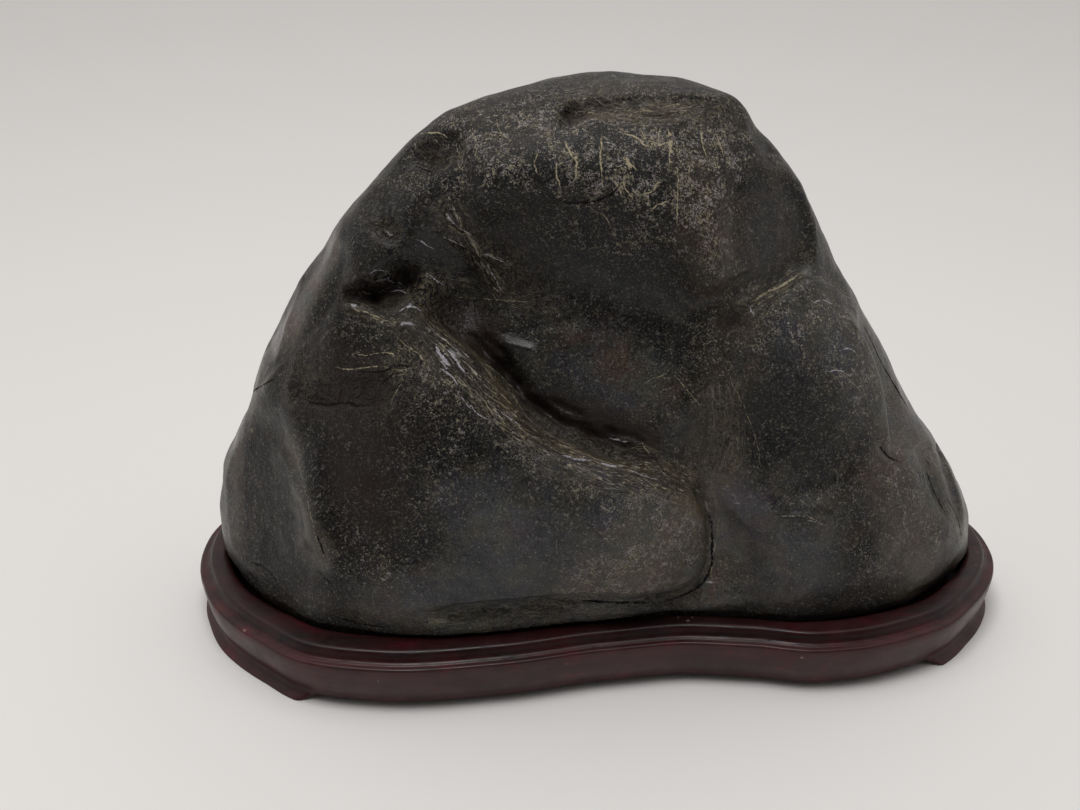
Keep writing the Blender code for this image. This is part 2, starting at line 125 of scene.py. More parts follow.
# ---- stone ----
# Level sections from the underside to the top: share of the way round the profile, height,
# then where the section ends at the left, right, front and back.
STONE_LEVELS = (
    (0.00, 12.0, 0.0, 0.0, 0.0, 0.0),
    (0.10, 12.0, -70.0, 68.0, -26.0, 28.0),
    (0.19, 12.6, -112.0, 108.0, -42.0, 44.0),
    (0.24, 16.0, -125.0, 122.5, -48.5, 50.0),
    (0.28, 23.2, -131.2, 129.2, -51.5, 53.0),
    (0.34, 34.0, -131.5, 128.5, -52.0, 57.5),
    (0.41, 50.0, -129.0, 121.3, -50.0, 58.0),
    (0.49, 70.0, -120.8, 110.0, -47.0, 56.0),
    (0.57, 93.0, -113.0, 94.8, -41.0, 53.0),
    (0.65, 116.0, -99.8, 80.6, -35.0, 48.0),
    (0.73, 138.0, -84.0, 69.5, -29.0, 43.0),
    (0.80, 156.0, -70.5, 59.0, -22.0, 37.0),
    (0.86, 169.0, -58.0, 50.0, -15.0, 31.0),
    (0.92, 178.2, -43.0, 42.5, -6.0, 24.0),
    (0.96, 182.0, -24.0, 32.0, 2.0, 17.0),
    (1.00, 183.2, 5.0, 5.0, 9.0, 9.0),
)
# How far the sections are drawn out from an ellipse towards their corners.
STONE_SQUARENESS = 0.2
# How much of the rim's plan the stone takes on, by height.
RIM_LIKE = ((12.0, 34.0, 80.0, 130.0), (1.0, 0.9, 0.35, 0.0))
STONE_CELLS = 210
STONE_TRIANGLES = 190000
STONE_SOFTENING = 2

# Forms are placed as seen square on from the front or the back, looking 30 degrees down. Each
# has a depth (negative stands out), its reach on the left and on the right hand of its path, how
# flat-bottomed it is and the share of its length over which its ends fade, then its path:
# across and up the view from the origin, by turns.
VIEW_DOWN = math.radians(30)
FORMS = {
    "lower lobe": (-8.0, 30, 32, 2.2, 0.0, -58, 42, -30, 28, 2, 19),
    "lobe's end": (-2.0, 15, 15, 2.2, 0.0, 4, 32, 14, 22),
    "right shoulder": (-5.0, 22, 22, 2.2, 0.0, 58, 88, 70, 80),
    "right foot": (-4.0, 18, 18, 2.2, 0.0, 64, 16, 80, 18),
    "brow": (-6.5, 7, 20, 2.2, 0.1, 34, 98, 23, 116, 6, 128, -22, 132, -44, 128),
    "central face": (12.0, 20, 21, 2.2, 0.0, -38, 104, -18, 100, 8, 94),
    "valley": (8.0, 13, 10, 1.6, 0.25, 20, 66, 29, 52, 34, 41, 39, 26, 42, 10, 43, 2),
    "right facet": (3.0, 15, 15, 4.0, 0.0, 50, 124, 52, 112),
    "right hollow": (2.5, 17, 17, 2.2, 0.0, 56, 54, 74, 50),
    "left facet": (3.0, 15, 15, 4.0, 0.0, -92, 108, -98, 90),
    "lobe's dim hollow": (3.5, 15, 15, 2.2, 0.0, -74, 46, -60, 32),
    "left cheek": (3.0, 13, 13, 2.4, 0.0, -110, 44, -112, 26),
    "crown notch": (2.5, 8, 8, 2.0, 0.0, 47, 151, 50, 145),
}
BACK_FORMS = {
    "back belly": (-4.0, 34, 34, 2.2, 0.0, -45, 36, 20, 44),
    "back hollow": (6.0, 24, 24, 2.2, 0.0, 40, 88, 10, 78),
    "back facet": (3.0, 20, 20, 4.0, 0.0, -52, 96, -44, 84),
    "back crown": (-3.0, 16, 16, 2.2, 0.0, -14, 138, 12, 140),
}
BACK_DETAILS = {
    "back crease": (2.6, 2.0, 8, 1.6, 0.25, -34, 120, -12, 106, 6, 92, 30, 84, 62, 62),
    "back step": (2.0, 7, 1.4, 1.6, 0.3, -96, 60, -66, 52, -40, 58, -20, 50),
    "back pit": (2.4, 4.5, 4.5, 3.0, 0.0, 58, 110, 54, 106),
    "back seam": (1.0, 2.2, 2.2, 1.4, 0.3, 84, 78, 70, 50, 66, 24),
}

# Cuts go straight in, away from the front view, and the front's details go in square to the
# surface. The paths of both, and all those below, go across and down the front view by turns.
CUTS = {
    "undercut": (8.0, 26, 1.5, 2.0, 0.2, 404, 296, 430, 314, 456, 334, 480, 358, 502, 384,
        522, 406, 546, 426, 576, 442, 606, 454, 654, 470),
    "deep hollow": (9.0, 4.8, 4.8, 2.6, 0.0, 374, 292, 390, 286, 402, 278),
    "hollow's end": (3.0, 3.5, 3.5, 2.4, 0.0, 352, 294, 368, 294),
    "bowl": (4.5, 9, 10, 2.6, 0.0, 434, 262, 458, 280),
}
SLOTS = {
    "crevice": (4.0, 3.4, 0.8, 2.4, 0.2, 462, 338, 474, 343, 486, 357, 498, 366, 507, 382,
        516, 389, 528, 404, 541, 410, 552, 419, 566, 424),
    "upper slot": (3.0, 4.6, 1.2, 2.4, 0.3, 492, 356, 500, 372, 514, 382, 522, 397),
    "side slot": (1.6, 1.2, 0.6, 2.0, 0.3, 476, 332, 494, 344, 512, 366, 524, 382),
    "low slot": (1.8, 1.8, 0.6, 2.0, 0.3, 540, 398, 558, 404, 572, 413, 592, 418),
    "lower crevice": (2.2, 3.2, 0.7, 2.4, 0.15, 548, 416, 562, 427, 576, 429, 590, 438, 604, 440,
        620, 450, 636, 453, 662, 467),
    "end slot": (1.4, 1.4, 0.7, 2.4, 0.3, 596, 428, 616, 434, 640, 440, 656, 450),
    "lip's groove": (1.2, 1.0, 1.0, 2.0, 0.2, 430, 326, 456, 350, 478, 376, 498, 402, 522, 426,
        556, 446, 600, 462),
    "lobe's lip": (-1.6, 0.8, 4.0, 1.5, 0.2, 425, 320, 448, 338, 468, 358, 488, 382, 506, 406,
        530, 427, 556, 442, 590, 456, 622, 468, 648, 478),
    "bowl's shelf": (-1.3, 1.6, 1.2, 1.8, 0.3, 486, 342, 508, 344, 530, 350, 546, 358),
}
DETAILS = {
    "knob": (-1.6, 12, 12, 2.4, 0.0, 590, 152, 636, 152),
    "knob's underside": (1.5, 1.2, 6, 1.8, 0.3, 560, 206, 582, 204, 602, 198, 624, 184),
    "top pit": (2.2, 1.0, 7, 2.4, 0.2, 566, 134, 563, 122, 565, 108, 574, 100),
    "facet ledge": (2.8, 13, 1.0, 2.0, 0.15, 737, 322, 758, 303, 780, 289, 803, 274, 832, 279,
        850, 300),
    "ledge pit": (1.6, 3.0, 3.0, 2.0, 0.0, 738, 320, 748, 318),
    "top break": (1.5, 0.9, 7.0, 2.0, 0.12, 566, 132, 560, 116, 574, 104, 610, 99, 660, 97,
        700, 97, 728, 104),
    "crown's step": (0.9, 5.0, 0.9, 2.0, 0.2, 590, 128, 640, 124, 690, 126, 720, 132),
    "seam": (1.1, 2.5, 2.5, 1.3, 0.15, 745, 132, 738, 190, 733, 250, 728, 320, 732, 370, 740, 400,
        756, 445, 762, 500),
    "left crease": (1.3, 1.2, 6, 2.0, 0.2, 347, 238, 345, 250, 338, 282, 326, 311, 309, 332,
        297, 344, 277, 362, 256, 388),
    "left ridge": (-1.2, 7, 7, 1.6, 0.2, 356, 312, 322, 350, 300, 392, 284, 440),
    "pale ridge": (-2.6, 7, 7, 1.5, 0.2, 280, 430, 296, 472, 312, 515, 328, 560),
    "lobe's left ridge": (-1.4, 5, 5, 1.6, 0.2, 318, 425, 318, 470, 328, 530, 345, 590),
    "left notch": (2.4, 13, 0.9, 2.4, 0.12, 288, 396, 312, 402, 330, 405, 347, 403, 378, 402,
        400, 392),
    "oval pit": (3.2, 5.5, 5.5, 4.0, 0.0, 424, 156, 446, 150),
    "small pit": (2.4, 3.6, 3.6, 3.0, 0.0, 384, 226, 392, 232),
    "right ridge": (-1.2, 2.0, 8, 1.6, 0.15, 838, 300, 850, 322, 864, 345, 876, 374, 882, 402,
        887, 430, 889, 455),
    "right scoop": (2.8, 10, 1.4, 2.0, 0.2, 854, 318, 868, 342, 880, 372, 886, 400, 891, 430,
        894, 458),
    "bowl's first rib": (-1.5, 1.2, 1.2, 1.6, 0.3, 438, 206, 446, 216, 458, 222, 472, 232),
    "bowl's second rib": (-1.5, 1.2, 1.2, 1.6, 0.3, 442, 234, 462, 242, 482, 252, 506, 262),
    "bowl's third rib": (-1.3, 1.2, 1.2, 1.6, 0.3, 462, 224, 472, 240, 486, 266, 502, 292),
    "bowl's low rib": (-1.2, 1.2, 1.2, 1.6, 0.3, 414, 270, 430, 284, 452, 292, 480, 300),
    "hollow's splinter": (-1.6, 1.0, 1.0, 1.6, 0.3, 378, 276, 392, 282, 408, 290),
    "lobe's rib": (-1.0, 1.1, 1.1, 1.6, 0.3, 330, 372, 360, 376, 392, 366, 424, 372),
    "right flank's fold": (1.5, 5, 1.0, 2.0, 0.25, 914, 448, 926, 470, 934, 494, 950, 522),
    "right edge's fold": (1.4, 1.0, 4, 2.0, 0.25, 936, 440, 951, 474, 959, 504, 962, 540),
    "right foot's fold": (1.4, 1.0, 4.5, 2.0, 0.25, 905, 596, 930, 586, 950, 570, 960, 552),
    "right flank's step": (1.0, 3, 0.9, 2.0, 0.3, 876, 440, 884, 454, 898, 463),
    "mound": (-1.6, 7, 7, 2.2, 0.0, 722, 500, 742, 504),
    "left knob": (-1.8, 2.4, 2.4, 2.2, 0.0, 350, 307),
    "bowl's knob": (-2.4, 4.0, 4.0, 2.4, 0.0, 412, 310, 418, 314),
    "lobe's shelf knob": (-1.4, 4.0, 4.0, 2.2, 0.0, 436, 348, 452, 364),
    "left groove": (1.0, 7, 9, 2.2, 0.3, 322, 440, 326, 490, 338, 560),
    "low ledge": (-1.1, 1.2, 6, 1.7, 0.4, 765, 518, 800, 516, 820, 521, 845, 533),
    "lobe's right edge": (3.4, 6, 1.8, 1.9, 0.15, 692, 482, 706, 505, 713, 530, 712, 560, 702, 582,
        680, 594),
    "lobe's underside": (4.0, 6, 1.8, 1.8, 0.15, 702, 582, 680, 595, 640, 601, 600, 600, 560, 602,
        500, 608, 420, 616),
}
# Flat places worn on the front: depth of the cut, its reach, how far its plane leans to the
# right and upwards from the surface's own lie, and its place.
FACETS = {
    "left flank": (1.0, 14, -0.2, 0.05, 285, 312),
    "left notch's top": (1.8, 15, 0.2, 0.1, 345, 345),
    "left cheek": (2.2, 24, -0.1, 0.0, 254, 500),
    "right facet": (2.6, 17, 0.0, 0.0, 768, 232),
    "right face": (1.0, 22, 0.05, 0.0, 810, 420),
    "right lobe's top": (1.6, 18, 0.0, 0.15, 800, 330),
    "right flank": (1.8, 24, 0.1, 0.0, 925, 470),
    "right foot": (1.2, 18, 0.0, -0.05, 800, 575),
    "crown's right": (1.4, 15, 0.1, 0.1, 725, 140),
    "lobe's face": (1.4, 22, 0.0, 0.0, 500, 540),
    "lobe's left": (1.6, 20, -0.1, 0.0, 370, 520),
    "lobe's shoulder": (1.4, 14, 0.0, 0.25, 420, 390),
    "left shoulder": (1.6, 14, -0.1, 0.1, 400, 190),
}
# Wrinkles that run along a path: height, spacing, reach on the left and on the right hand.
WRINKLES = {
    "lip": (0.8, 1.7, 1.5, 7.5, 414, 316, 436, 326, 458, 344, 482, 372, 504, 402, 528, 426,
        560, 445, 600, 462, 650, 480),
    "gully": (0.6, 1.9, 7.0, 1.5, 440, 312, 470, 334, 498, 364, 524, 394, 560, 412, 620, 432),
    "bowl": (0.4, 2.4, 8.0, 8.0, 444, 205, 466, 240, 488, 275, 506, 305),
    "hollow": (0.55, 2.2, 8.0, 8.0, 345, 284, 380, 286, 415, 290, 450, 300),
    "crevice's end": (0.7, 1.7, 6.0, 6.0, 628, 440, 660, 464, 690, 482, 706, 505),
    "column": (0.4, 3.0, 6.0, 6.0, 722, 380, 728, 430, 716, 480),
    "lobe's underside": (0.5, 1.5, 4.0, 4.0, 410, 624, 500, 612, 600, 606, 690, 598),
    "crown": (0.7, 2.2, 8.0, 8.0, 580, 108, 640, 110, 700, 106, 725, 118),
}
# The share of its length over which a wrinkle's ends fade, how much longer than wide its waves
# are, how far apart the noise of two wrinkles lies, and the height that its crests are cut from.
WRINKLE_FADE = 0.15
WRINKLE_DRAWN_OUT = 0.22
WRINKLE_APART = 7.3
WRINKLE_LEVEL = 0.35
# Swells and ripples all over: spacing, height.
SWELLS = ((55.0, 3.0), (22.0, 1.1), (9.0, 0.4))
RIPPLES = ((4.5, 0.14), (2.2, 0.09))

# Rays start this far off, and one that misses the stone takes the place nearest to this far on.
RAY_START = 400
RAY_MISS = 450
PATH_SPACING = 3.0
# How flat-topped a mark's strength is across its path, and how far past its reach it is felt.
SOFT_EDGE = 2.4
MARK_MARGIN = 2.2
WRINKLE_MARGIN = 1.8
STROKE_MARGIN = 2.0
# The share of a flat place's reach over which it runs out.
FACET_RIM = 0.35

# ---- marks of colour on the stone ----
# Broad strokes by layer: the layer's plain value, then each stroke's amount, reach and path.
STROKES = {
    # The pale layer sets the body's tone. Besides the stone's own paler and darker patches, some
    # of its strokes paint light and shade: painted reflections along the left and right edges and
    # on the right flank, and painted shade on the central face, in the deep hollow and in the
    # bowl.
    "pale": (0.5, (
        (-0.15, 26, 460, 150, 560, 120, 700, 130), (0.05, 14, 660, 170, 720, 240),
        (0.35, 8, 716, 490, 724, 540, 714, 585), (-0.2, 12, 580, 185, 640, 175),
        (-0.3, 8, 424, 150, 440, 156), (-0.25, 12, 520, 205, 590, 215, 640, 225),
        (-0.35, 24, 480, 250, 580, 275, 670, 340), (0.1, 14, 610, 350, 660, 370),
        (0.85, 6, 330, 252, 306, 300, 276, 346, 262, 372),
        (-0.45, 10, 352, 262, 345, 310, 318, 350, 290, 400), (-0.2, 12, 345, 465, 380, 500),
        (-0.95, 10, 430, 258, 462, 280), (-0.9, 5.5, 372, 292, 390, 286, 406, 278),
        (-0.3, 7, 480, 250, 510, 285), (0.9, 6, 948, 480, 958, 520, 962, 545),
        (-0.8, 13, 262, 480, 262, 545), (0.3, 12, 600, 350, 640, 380),
        (-0.35, 8, 460, 325, 500, 335), (0.15, 9, 722, 260, 726, 380, 722, 440),
        (-0.2, 14, 768, 210, 766, 262), (0.2, 20, 780, 320, 840, 330, 860, 380),
        (-0.35, 15, 770, 410, 830, 440), (-0.25, 8, 862, 540, 850, 580),
        (0.1, 14, 800, 550, 820, 560), (0.25, 14, 900, 480, 930, 560),
        (0.4, 5, 952, 470, 962, 520), (0.25, 7, 714, 494, 748, 508),
        (0.75, 9, 866, 340, 896, 400, 925, 450), (-0.25, 10, 350, 360, 400, 370, 380, 390),
        (-0.2, 20, 300, 300, 300, 350, 350, 390), (-0.3, 14, 325, 440, 330, 500, 345, 560),
        (-0.6, 15, 365, 480, 400, 450, 440, 425), (-0.45, 11, 390, 520, 420, 535),
        (-0.2, 10, 470, 430, 520, 450), (0.2, 20, 440, 500, 480, 560, 420, 590),
        (0.1, 14, 540, 520, 600, 550), (1.2, 12, 600, 588, 650, 575, 685, 548),
        (0.35, 10, 640, 520, 690, 515), (0.35, 5, 550, 460, 600, 470, 650, 480),
        (-0.3, 8, 278, 450, 278, 520, 290, 570), (0.4, 8, 235, 450, 238, 520, 255, 560),
        (0.45, 5, 288, 425, 300, 480, 322, 560), (0.25, 8, 425, 375, 450, 398),
    )),
    "warm": (0.5, (
        (-0.5, 10, 436, 240, 462, 275), (0.5, 7, 488, 250, 512, 286),
        (0.3, 10, 500, 240, 516, 262), (0.4, 20, 470, 110, 600, 110, 720, 130),
        (-0.4, 14, 590, 135, 630, 150), (-0.3, 14, 570, 180, 640, 190),
        (0.45, 14, 700, 180, 726, 300, 722, 440), (0.25, 14, 768, 215, 766, 262),
        (0.4, 9, 500, 262, 520, 275), (0.25, 10, 600, 345, 630, 360),
        (-0.35, 16, 600, 250, 640, 300), (-0.35, 9, 560, 380, 620, 400),
        (-0.35, 18, 800, 330, 790, 430), (-0.2, 14, 800, 550, 820, 560),
        (0.45, 14, 890, 480, 930, 580), (0.35, 16, 310, 350, 360, 350, 420, 390),
        (0.25, 14, 360, 470, 380, 540), (-0.35, 10, 470, 430, 540, 450),
        (-0.3, 18, 450, 510, 560, 560), (-0.3, 12, 430, 590, 500, 595),
        (0.3, 13, 600, 585, 660, 560), (-0.3, 8, 610, 500, 640, 510),
        (-0.4, 9, 725, 505, 742, 510), (0.35, 8, 235, 450, 250, 550),
    )),
    "flecks": (0.22, (
        (0.9, 12, 600, 582, 650, 568, 686, 540, 690, 510),
        (0.5, 17, 455, 150, 540, 128, 640, 125, 720, 140), (0.6, 12, 600, 170, 650, 185, 700, 215),
        (0.4, 9, 690, 130, 712, 160, 712, 180), (0.4, 8, 560, 232, 640, 240),
        (0.45, 14, 790, 305, 840, 330, 860, 380), (0.25, 10, 720, 250, 722, 340),
        (0.5, 7, 424, 356, 470, 400, 520, 436, 560, 458, 640, 486),
        (0.2, 12, 340, 350, 400, 380, 430, 410), (0.22, 14, 380, 480, 410, 520, 400, 560),
        (-0.3, 10, 432, 258, 462, 280), (0.2, 12, 620, 510, 670, 505),
        (0.3, 9, 900, 470, 930, 540), (0.25, 9, 860, 560, 870, 600),
        (-0.1, 18, 520, 260, 600, 300, 640, 350), (-0.2, 12, 768, 215, 766, 260),
        (-0.2, 14, 440, 560, 500, 585), (-0.2, 12, 390, 275, 450, 280),
    )),
    "patina": (0.0, (
        (0.6, 3.5, 425, 312, 445, 332, 470, 350, 500, 385),
        (0.7, 4.0, 495, 385, 520, 418, 545, 438, 580, 452, 640, 470),
        (0.5, 6.0, 665, 470, 690, 490, 705, 510), (0.45, 5.0, 728, 420, 733, 450, 725, 478),
        (0.45, 6.0, 600, 112, 650, 118, 700, 112), (0.45, 3.0, 752, 300, 785, 284, 802, 273),
        (0.35, 3.5, 376, 222, 390, 234, 400, 226), (0.35, 3.0, 350, 308, 385, 320, 410, 318),
        (0.3, 7.0, 735, 540, 765, 505), (0.38, 12.0, 600, 580, 650, 566, 686, 540, 692, 512),
    )),
    # Dark brown in the hollows, crevices and pits: partly the stone's own colour, partly painted
    # shade, such as the shadow under the left notch's overhang and the shade inside the crevice.
    "umber_and_shade": (0.0, (
        (0.7, 4.5, 450, 320, 480, 344, 506, 372, 530, 398, 572, 420, 640, 450),
        (0.45, 14, 345, 470, 380, 520), (0.7, 7.0, 440, 310, 485, 330),
        (0.6, 4.0, 560, 415, 610, 430, 650, 446), (0.4, 14, 330, 340, 300, 390, 360, 390),
        (0.35, 12, 365, 480, 400, 440), (0.3, 12, 500, 262, 530, 285),
        (0.6, 4.0, 326, 398, 350, 396, 376, 395), (0.4, 6.0, 345, 372, 372, 368),
        (0.5, 3.0, 376, 228, 392, 234), (0.5, 3.5, 424, 150, 440, 158),
        (0.8, 4.5, 352, 296, 388, 288, 410, 276), (0.45, 6.0, 560, 392, 610, 412, 650, 436),
        (0.75, 4.5, 570, 120, 584, 112, 600, 108), (0.5, 4.0, 738, 318, 750, 326),
        (0.4, 3.0, 450, 215, 460, 222), (0.35, 6.0, 700, 240, 725, 320),
    )),
    "violet": (0.0, (
        (0.9, 15, 255, 450, 262, 520, 285, 560), (0.9, 8, 330, 255, 300, 310, 270, 355),
        (0.8, 15, 350, 470, 375, 530), (0.7, 10, 735, 500, 760, 540, 745, 580),
        (0.7, 14, 650, 160, 700, 190, 715, 220), (0.9, 8, 488, 250, 512, 286),
        (0.8, 13, 600, 340, 640, 375), (0.6, 10, 870, 470, 862, 560), (0.6, 9, 520, 240, 500, 262),
    )),
    "broken": (0.0, (
        (0.7, 5, 440, 215, 470, 245, 505, 262), (0.8, 6, 360, 290, 400, 280, 430, 290),
        (0.7, 6, 425, 312, 460, 345, 500, 385), (0.9, 5, 500, 385, 545, 432, 640, 466),
        (0.8, 5, 574, 108, 650, 108, 725, 112), (0.8, 4, 740, 316, 760, 304),
        (0.6, 9, 300, 385, 360, 390, 410, 370), (0.5, 6, 945, 480, 958, 530),
        (0.5, 6, 720, 400, 722, 470), (0.8, 5, 668, 470, 690, 485, 705, 505),
        (0.3, 10, 450, 290, 540, 300), (0.5, 4, 420, 618, 560, 606, 690, 594),
        (0.6, 4, 378, 226, 396, 232), (0.7, 4, 424, 150, 446, 160),
    )),
    "polish": (0.15, (
        (0.4, 11, 768, 210, 766, 262), (0.2, 12, 430, 262, 462, 285),
        (0.8, 2.5, 436, 212, 452, 228, 468, 240), (0.8, 2.5, 452, 240, 480, 252, 505, 262),
        (0.8, 2.5, 350, 306, 356, 304), (0.15, 14, 262, 470, 285, 560),
        (0.45, 7, 330, 255, 300, 310, 272, 350), (0.4, 14, 550, 260, 640, 320),
        (0.4, 14, 780, 560, 830, 575), (0.9, 4, 418, 312, 440, 350, 458, 366),
        (0.5, 3, 500, 346, 520, 348, 540, 355), (-0.3, 12, 470, 104, 560, 86, 650, 82, 720, 96),
        (0.6, 5, 560, 456, 610, 470), (0.5, 5, 430, 148, 440, 160), (0.4, 3.5, 602, 138, 622, 148),
        (-0.3, 9, 470, 140, 560, 134, 600, 124, 700, 130), (0.45, 10, 440, 235, 470, 270),
    )),
}
# Bands of fibres: reach, strength, path.
BANDS = (
    (6.5, 1.0, 414, 308, 434, 330, 456, 350, 478, 376, 500, 404, 524, 427, 556, 446, 600, 462,
        650, 476, 694, 496),
    (3.0, 0.7, 345, 306, 370, 314, 395, 322, 414, 312),
    (4.0, 0.7, 444, 205, 466, 240, 488, 275, 506, 300),
    (3.0, 0.35, 425, 272, 470, 285, 520, 300, 560, 306),
    (3.0, 0.7, 690, 480, 708, 510, 712, 545, 702, 580), (3.5, 0.6, 748, 305, 780, 288, 802, 273),
    (6.0, 0.3, 720, 380, 726, 430, 716, 480), (5.0, 0.6, 570, 104, 640, 112, 700, 106),
    (4.0, 0.5, 300, 300, 288, 330, 262, 380), (4.0, 0.4, 410, 620, 500, 612, 600, 604, 690, 594),
    (5.0, 0.4, 930, 440, 950, 490, 960, 540),
)
BANDS_APART = 50.0
BAND_FADE = (0.12, 0.2)
# Pale hairlines, painted glints where a worn edge catches the light, and cracks, some of them
# painted shadow lines under overhangs: half width, path.
SCRATCHES = (
    (0.25, 565, 140, 568, 150, 575, 160), (0.25, 575, 150, 577, 160, 576, 172, 575, 182),
    (0.25, 616, 158, 624, 160, 630, 168, 636, 172), (0.22, 630, 172, 622, 180, 626, 190, 634, 200),
    (0.22, 612, 178, 618, 186, 622, 196), (0.22, 640, 128, 646, 138, 658, 146, 668, 141),
    (0.2, 668, 134, 670, 150, 669, 168), (0.2, 610, 124, 612, 114, 620, 108),
    (0.2, 626, 120, 636, 112, 650, 110, 656, 118), (0.2, 660, 108, 676, 104, 692, 108),
    (0.2, 600, 116, 590, 112, 584, 118), (0.2, 640, 196, 652, 192, 660, 180),
    (0.18, 600, 210, 606, 218, 612, 228), (0.18, 650, 212, 660, 204, 672, 200),
    (0.18, 686, 150, 690, 166, 688, 180), (0.18, 700, 128, 703, 146, 708, 160),
    (0.18, 540, 150, 534, 164, 540, 178), (0.16, 470, 130, 478, 146, 474, 160),
    (0.16, 496, 118, 500, 132, 510, 140), (0.22, 557, 160, 556, 174, 562, 190),
    (0.25, 602, 130, 601, 160, 603, 190), (0.25, 622, 133, 636, 137, 645, 145, 656, 148),
    (0.22, 655, 147, 659, 138, 660, 128), (0.22, 666, 128, 673, 140, 674, 150, 678, 160),
    (0.22, 614, 160, 626, 158, 632, 166, 640, 172), (0.2, 715, 130, 720, 145, 725, 160),
    (0.2, 690, 178, 693, 190), (0.2, 677, 150, 678, 190, 677, 230),
    (0.25, 415, 137, 425, 133, 440, 133, 449, 138), (0.2, 445, 222, 455, 230, 468, 236),
    (0.2, 485, 252, 495, 257, 505, 260), (0.09, 478, 275, 490, 284, 500, 292),
    (0.09, 418, 272, 427, 280, 435, 285), (0.09, 440, 290, 460, 297, 500, 300, 545, 303),
    (0.25, 350, 308, 368, 313, 385, 321), (0.2, 480, 360, 500, 375, 515, 390, 526, 401),
    (0.28, 500, 378, 515, 398, 527, 416, 546, 432, 580, 451, 602, 461, 640, 469),
    (0.22, 480, 390, 495, 400, 512, 411), (0.22, 640, 438, 645, 448, 651, 456),
    (0.09, 660, 322, 664, 330, 668, 339), (0.09, 640, 385, 655, 378, 670, 372),
    (0.09, 665, 365, 680, 382, 705, 411), (0.09, 530, 330, 535, 338, 541, 344),
    (0.36, 750, 303, 768, 292, 785, 284, 801, 272), (0.16, 352, 352, 366, 356, 384, 352, 402, 360),
    (0.16, 330, 366, 352, 370, 378, 366, 398, 370, 424, 366),
    (0.16, 392, 330, 404, 344, 416, 352, 428, 370), (0.14, 396, 348, 410, 350, 426, 356),
    (0.14, 404, 380, 396, 392, 390, 404), (0.22, 470, 388, 482, 398, 490, 410, 506, 420),
    (0.22, 452, 372, 462, 384, 478, 392), (0.2, 540, 440, 560, 452, 580, 458, 604, 468),
    (0.08, 290, 430, 300, 470, 312, 520, 325, 575), (0.14, 360, 290, 372, 294, 386, 290),
    (0.09, 805, 275, 820, 277, 832, 281, 842, 290, 851, 301),
    (0.09, 723, 345, 728, 368, 733, 386, 742, 402, 752, 428, 759, 452, 761, 480),
    (0.09, 765, 518, 785, 516, 800, 516, 818, 521, 840, 532), (0.09, 385, 372, 395, 376, 410, 372),
    (0.09, 560, 520, 556, 545, 560, 560), (0.09, 805, 295, 818, 305, 832, 312),
    (0.09, 848, 325, 856, 332, 862, 341), (0.09, 820, 360, 840, 372, 870, 400),
)
# Glints are painted highlights: pale bluish lines painted into the colour where a ridge or knob
# would catch the light.
GLINTS = (
    (0.3, 443, 237, 452, 241, 465, 247), (0.25, 446, 212, 452, 222, 460, 228, 472, 236),
    (0.18, 482, 253, 494, 258, 506, 263), (0.18, 488, 268, 496, 280, 502, 291),
    (0.15, 416, 238, 428, 246, 436, 250), (0.15, 424, 270, 434, 279, 446, 286),
    (0.55, 436, 346, 441, 356, 450, 366), (0.3, 448, 350, 456, 360, 466, 374),
    (0.25, 440, 368, 452, 376, 458, 386), (0.5, 400, 325, 407, 322, 414, 325),
    (0.25, 398, 312, 412, 306, 422, 312), (0.8, 352, 305, 357, 307),
    (0.22, 608, 437, 618, 440, 630, 442), (0.3, 562, 455, 576, 459, 592, 461),
    (0.25, 598, 462, 612, 466, 626, 466), (0.15, 500, 410, 512, 420, 526, 430),
    (0.14, 600, 141, 610, 143, 618, 147), (0.1, 604, 150, 612, 149, 622, 152),
    (0.3, 750, 308, 754, 317), (0.15, 384, 228, 392, 236, 399, 229),
    (0.15, 385, 273, 394, 281, 406, 285), (0.12, 372, 284, 384, 279, 396, 284),
    (0.12, 388, 292, 398, 290, 408, 294), (0.12, 366, 276, 378, 270, 392, 272),
    (0.15, 470, 404, 478, 414, 490, 420), (0.12, 456, 392, 464, 400, 470, 410),
    (0.12, 630, 470, 644, 476, 660, 480), (0.12, 730, 504, 736, 502, 742, 505),
    (0.08, 768, 518, 785, 516, 800, 517), (0.1, 804, 520, 816, 522, 826, 526),
    (0.15, 812, 303, 822, 300, 834, 305), (0.15, 838, 352, 848, 348, 858, 354),
    (0.15, 826, 372, 838, 370, 850, 376), (0.15, 690, 492, 698, 490, 702, 498),
)
# Some of these are painted shadow lines rather than cracks: under the left notch's overhang, under
# the knob and along the lobe's underside.
CRACKS_AND_SHADE = (
    (0.35, 252, 392, 265, 384, 276, 378), (0.3, 300, 390, 307, 394),
    (0.6, 302, 398, 314, 403, 330, 405, 345, 403, 360, 406, 378, 401),
    (0.3, 355, 372, 380, 372, 400, 365, 420, 370), (0.3, 380, 385, 395, 372),
    (0.35, 560, 203, 585, 203, 600, 200, 612, 193, 621, 184), (0.3, 317, 535, 325, 556),
    (0.3, 318, 570, 325, 578, 333, 586), (0.28, 250, 562, 265, 568, 280, 586),
    (0.3, 330, 615, 360, 624, 392, 628),
    (0.35, 705, 505, 712, 530, 712, 560, 705, 580, 690, 592, 660, 603),
    (0.35, 580, 600, 610, 602, 650, 603), (0.35, 860, 320, 870, 338, 880, 360, 896, 388, 912, 415),
    (0.3, 878, 445, 890, 458, 902, 462), (0.28, 925, 458, 930, 466),
    (0.28, 925, 468, 934, 492, 948, 518), (0.25, 914, 592, 936, 582, 954, 566),
    (0.28, 945, 495, 958, 520, 962, 540), (0.25, 415, 166, 425, 170, 432, 173, 430, 178),
    (0.25, 380, 228, 390, 238, 402, 228), (0.22, 444, 211, 446, 219),
)
HAIRLINES = {"scratch": SCRATCHES, "glint": GLINTS, "crack_and_shade": CRACKS_AND_SHADE}
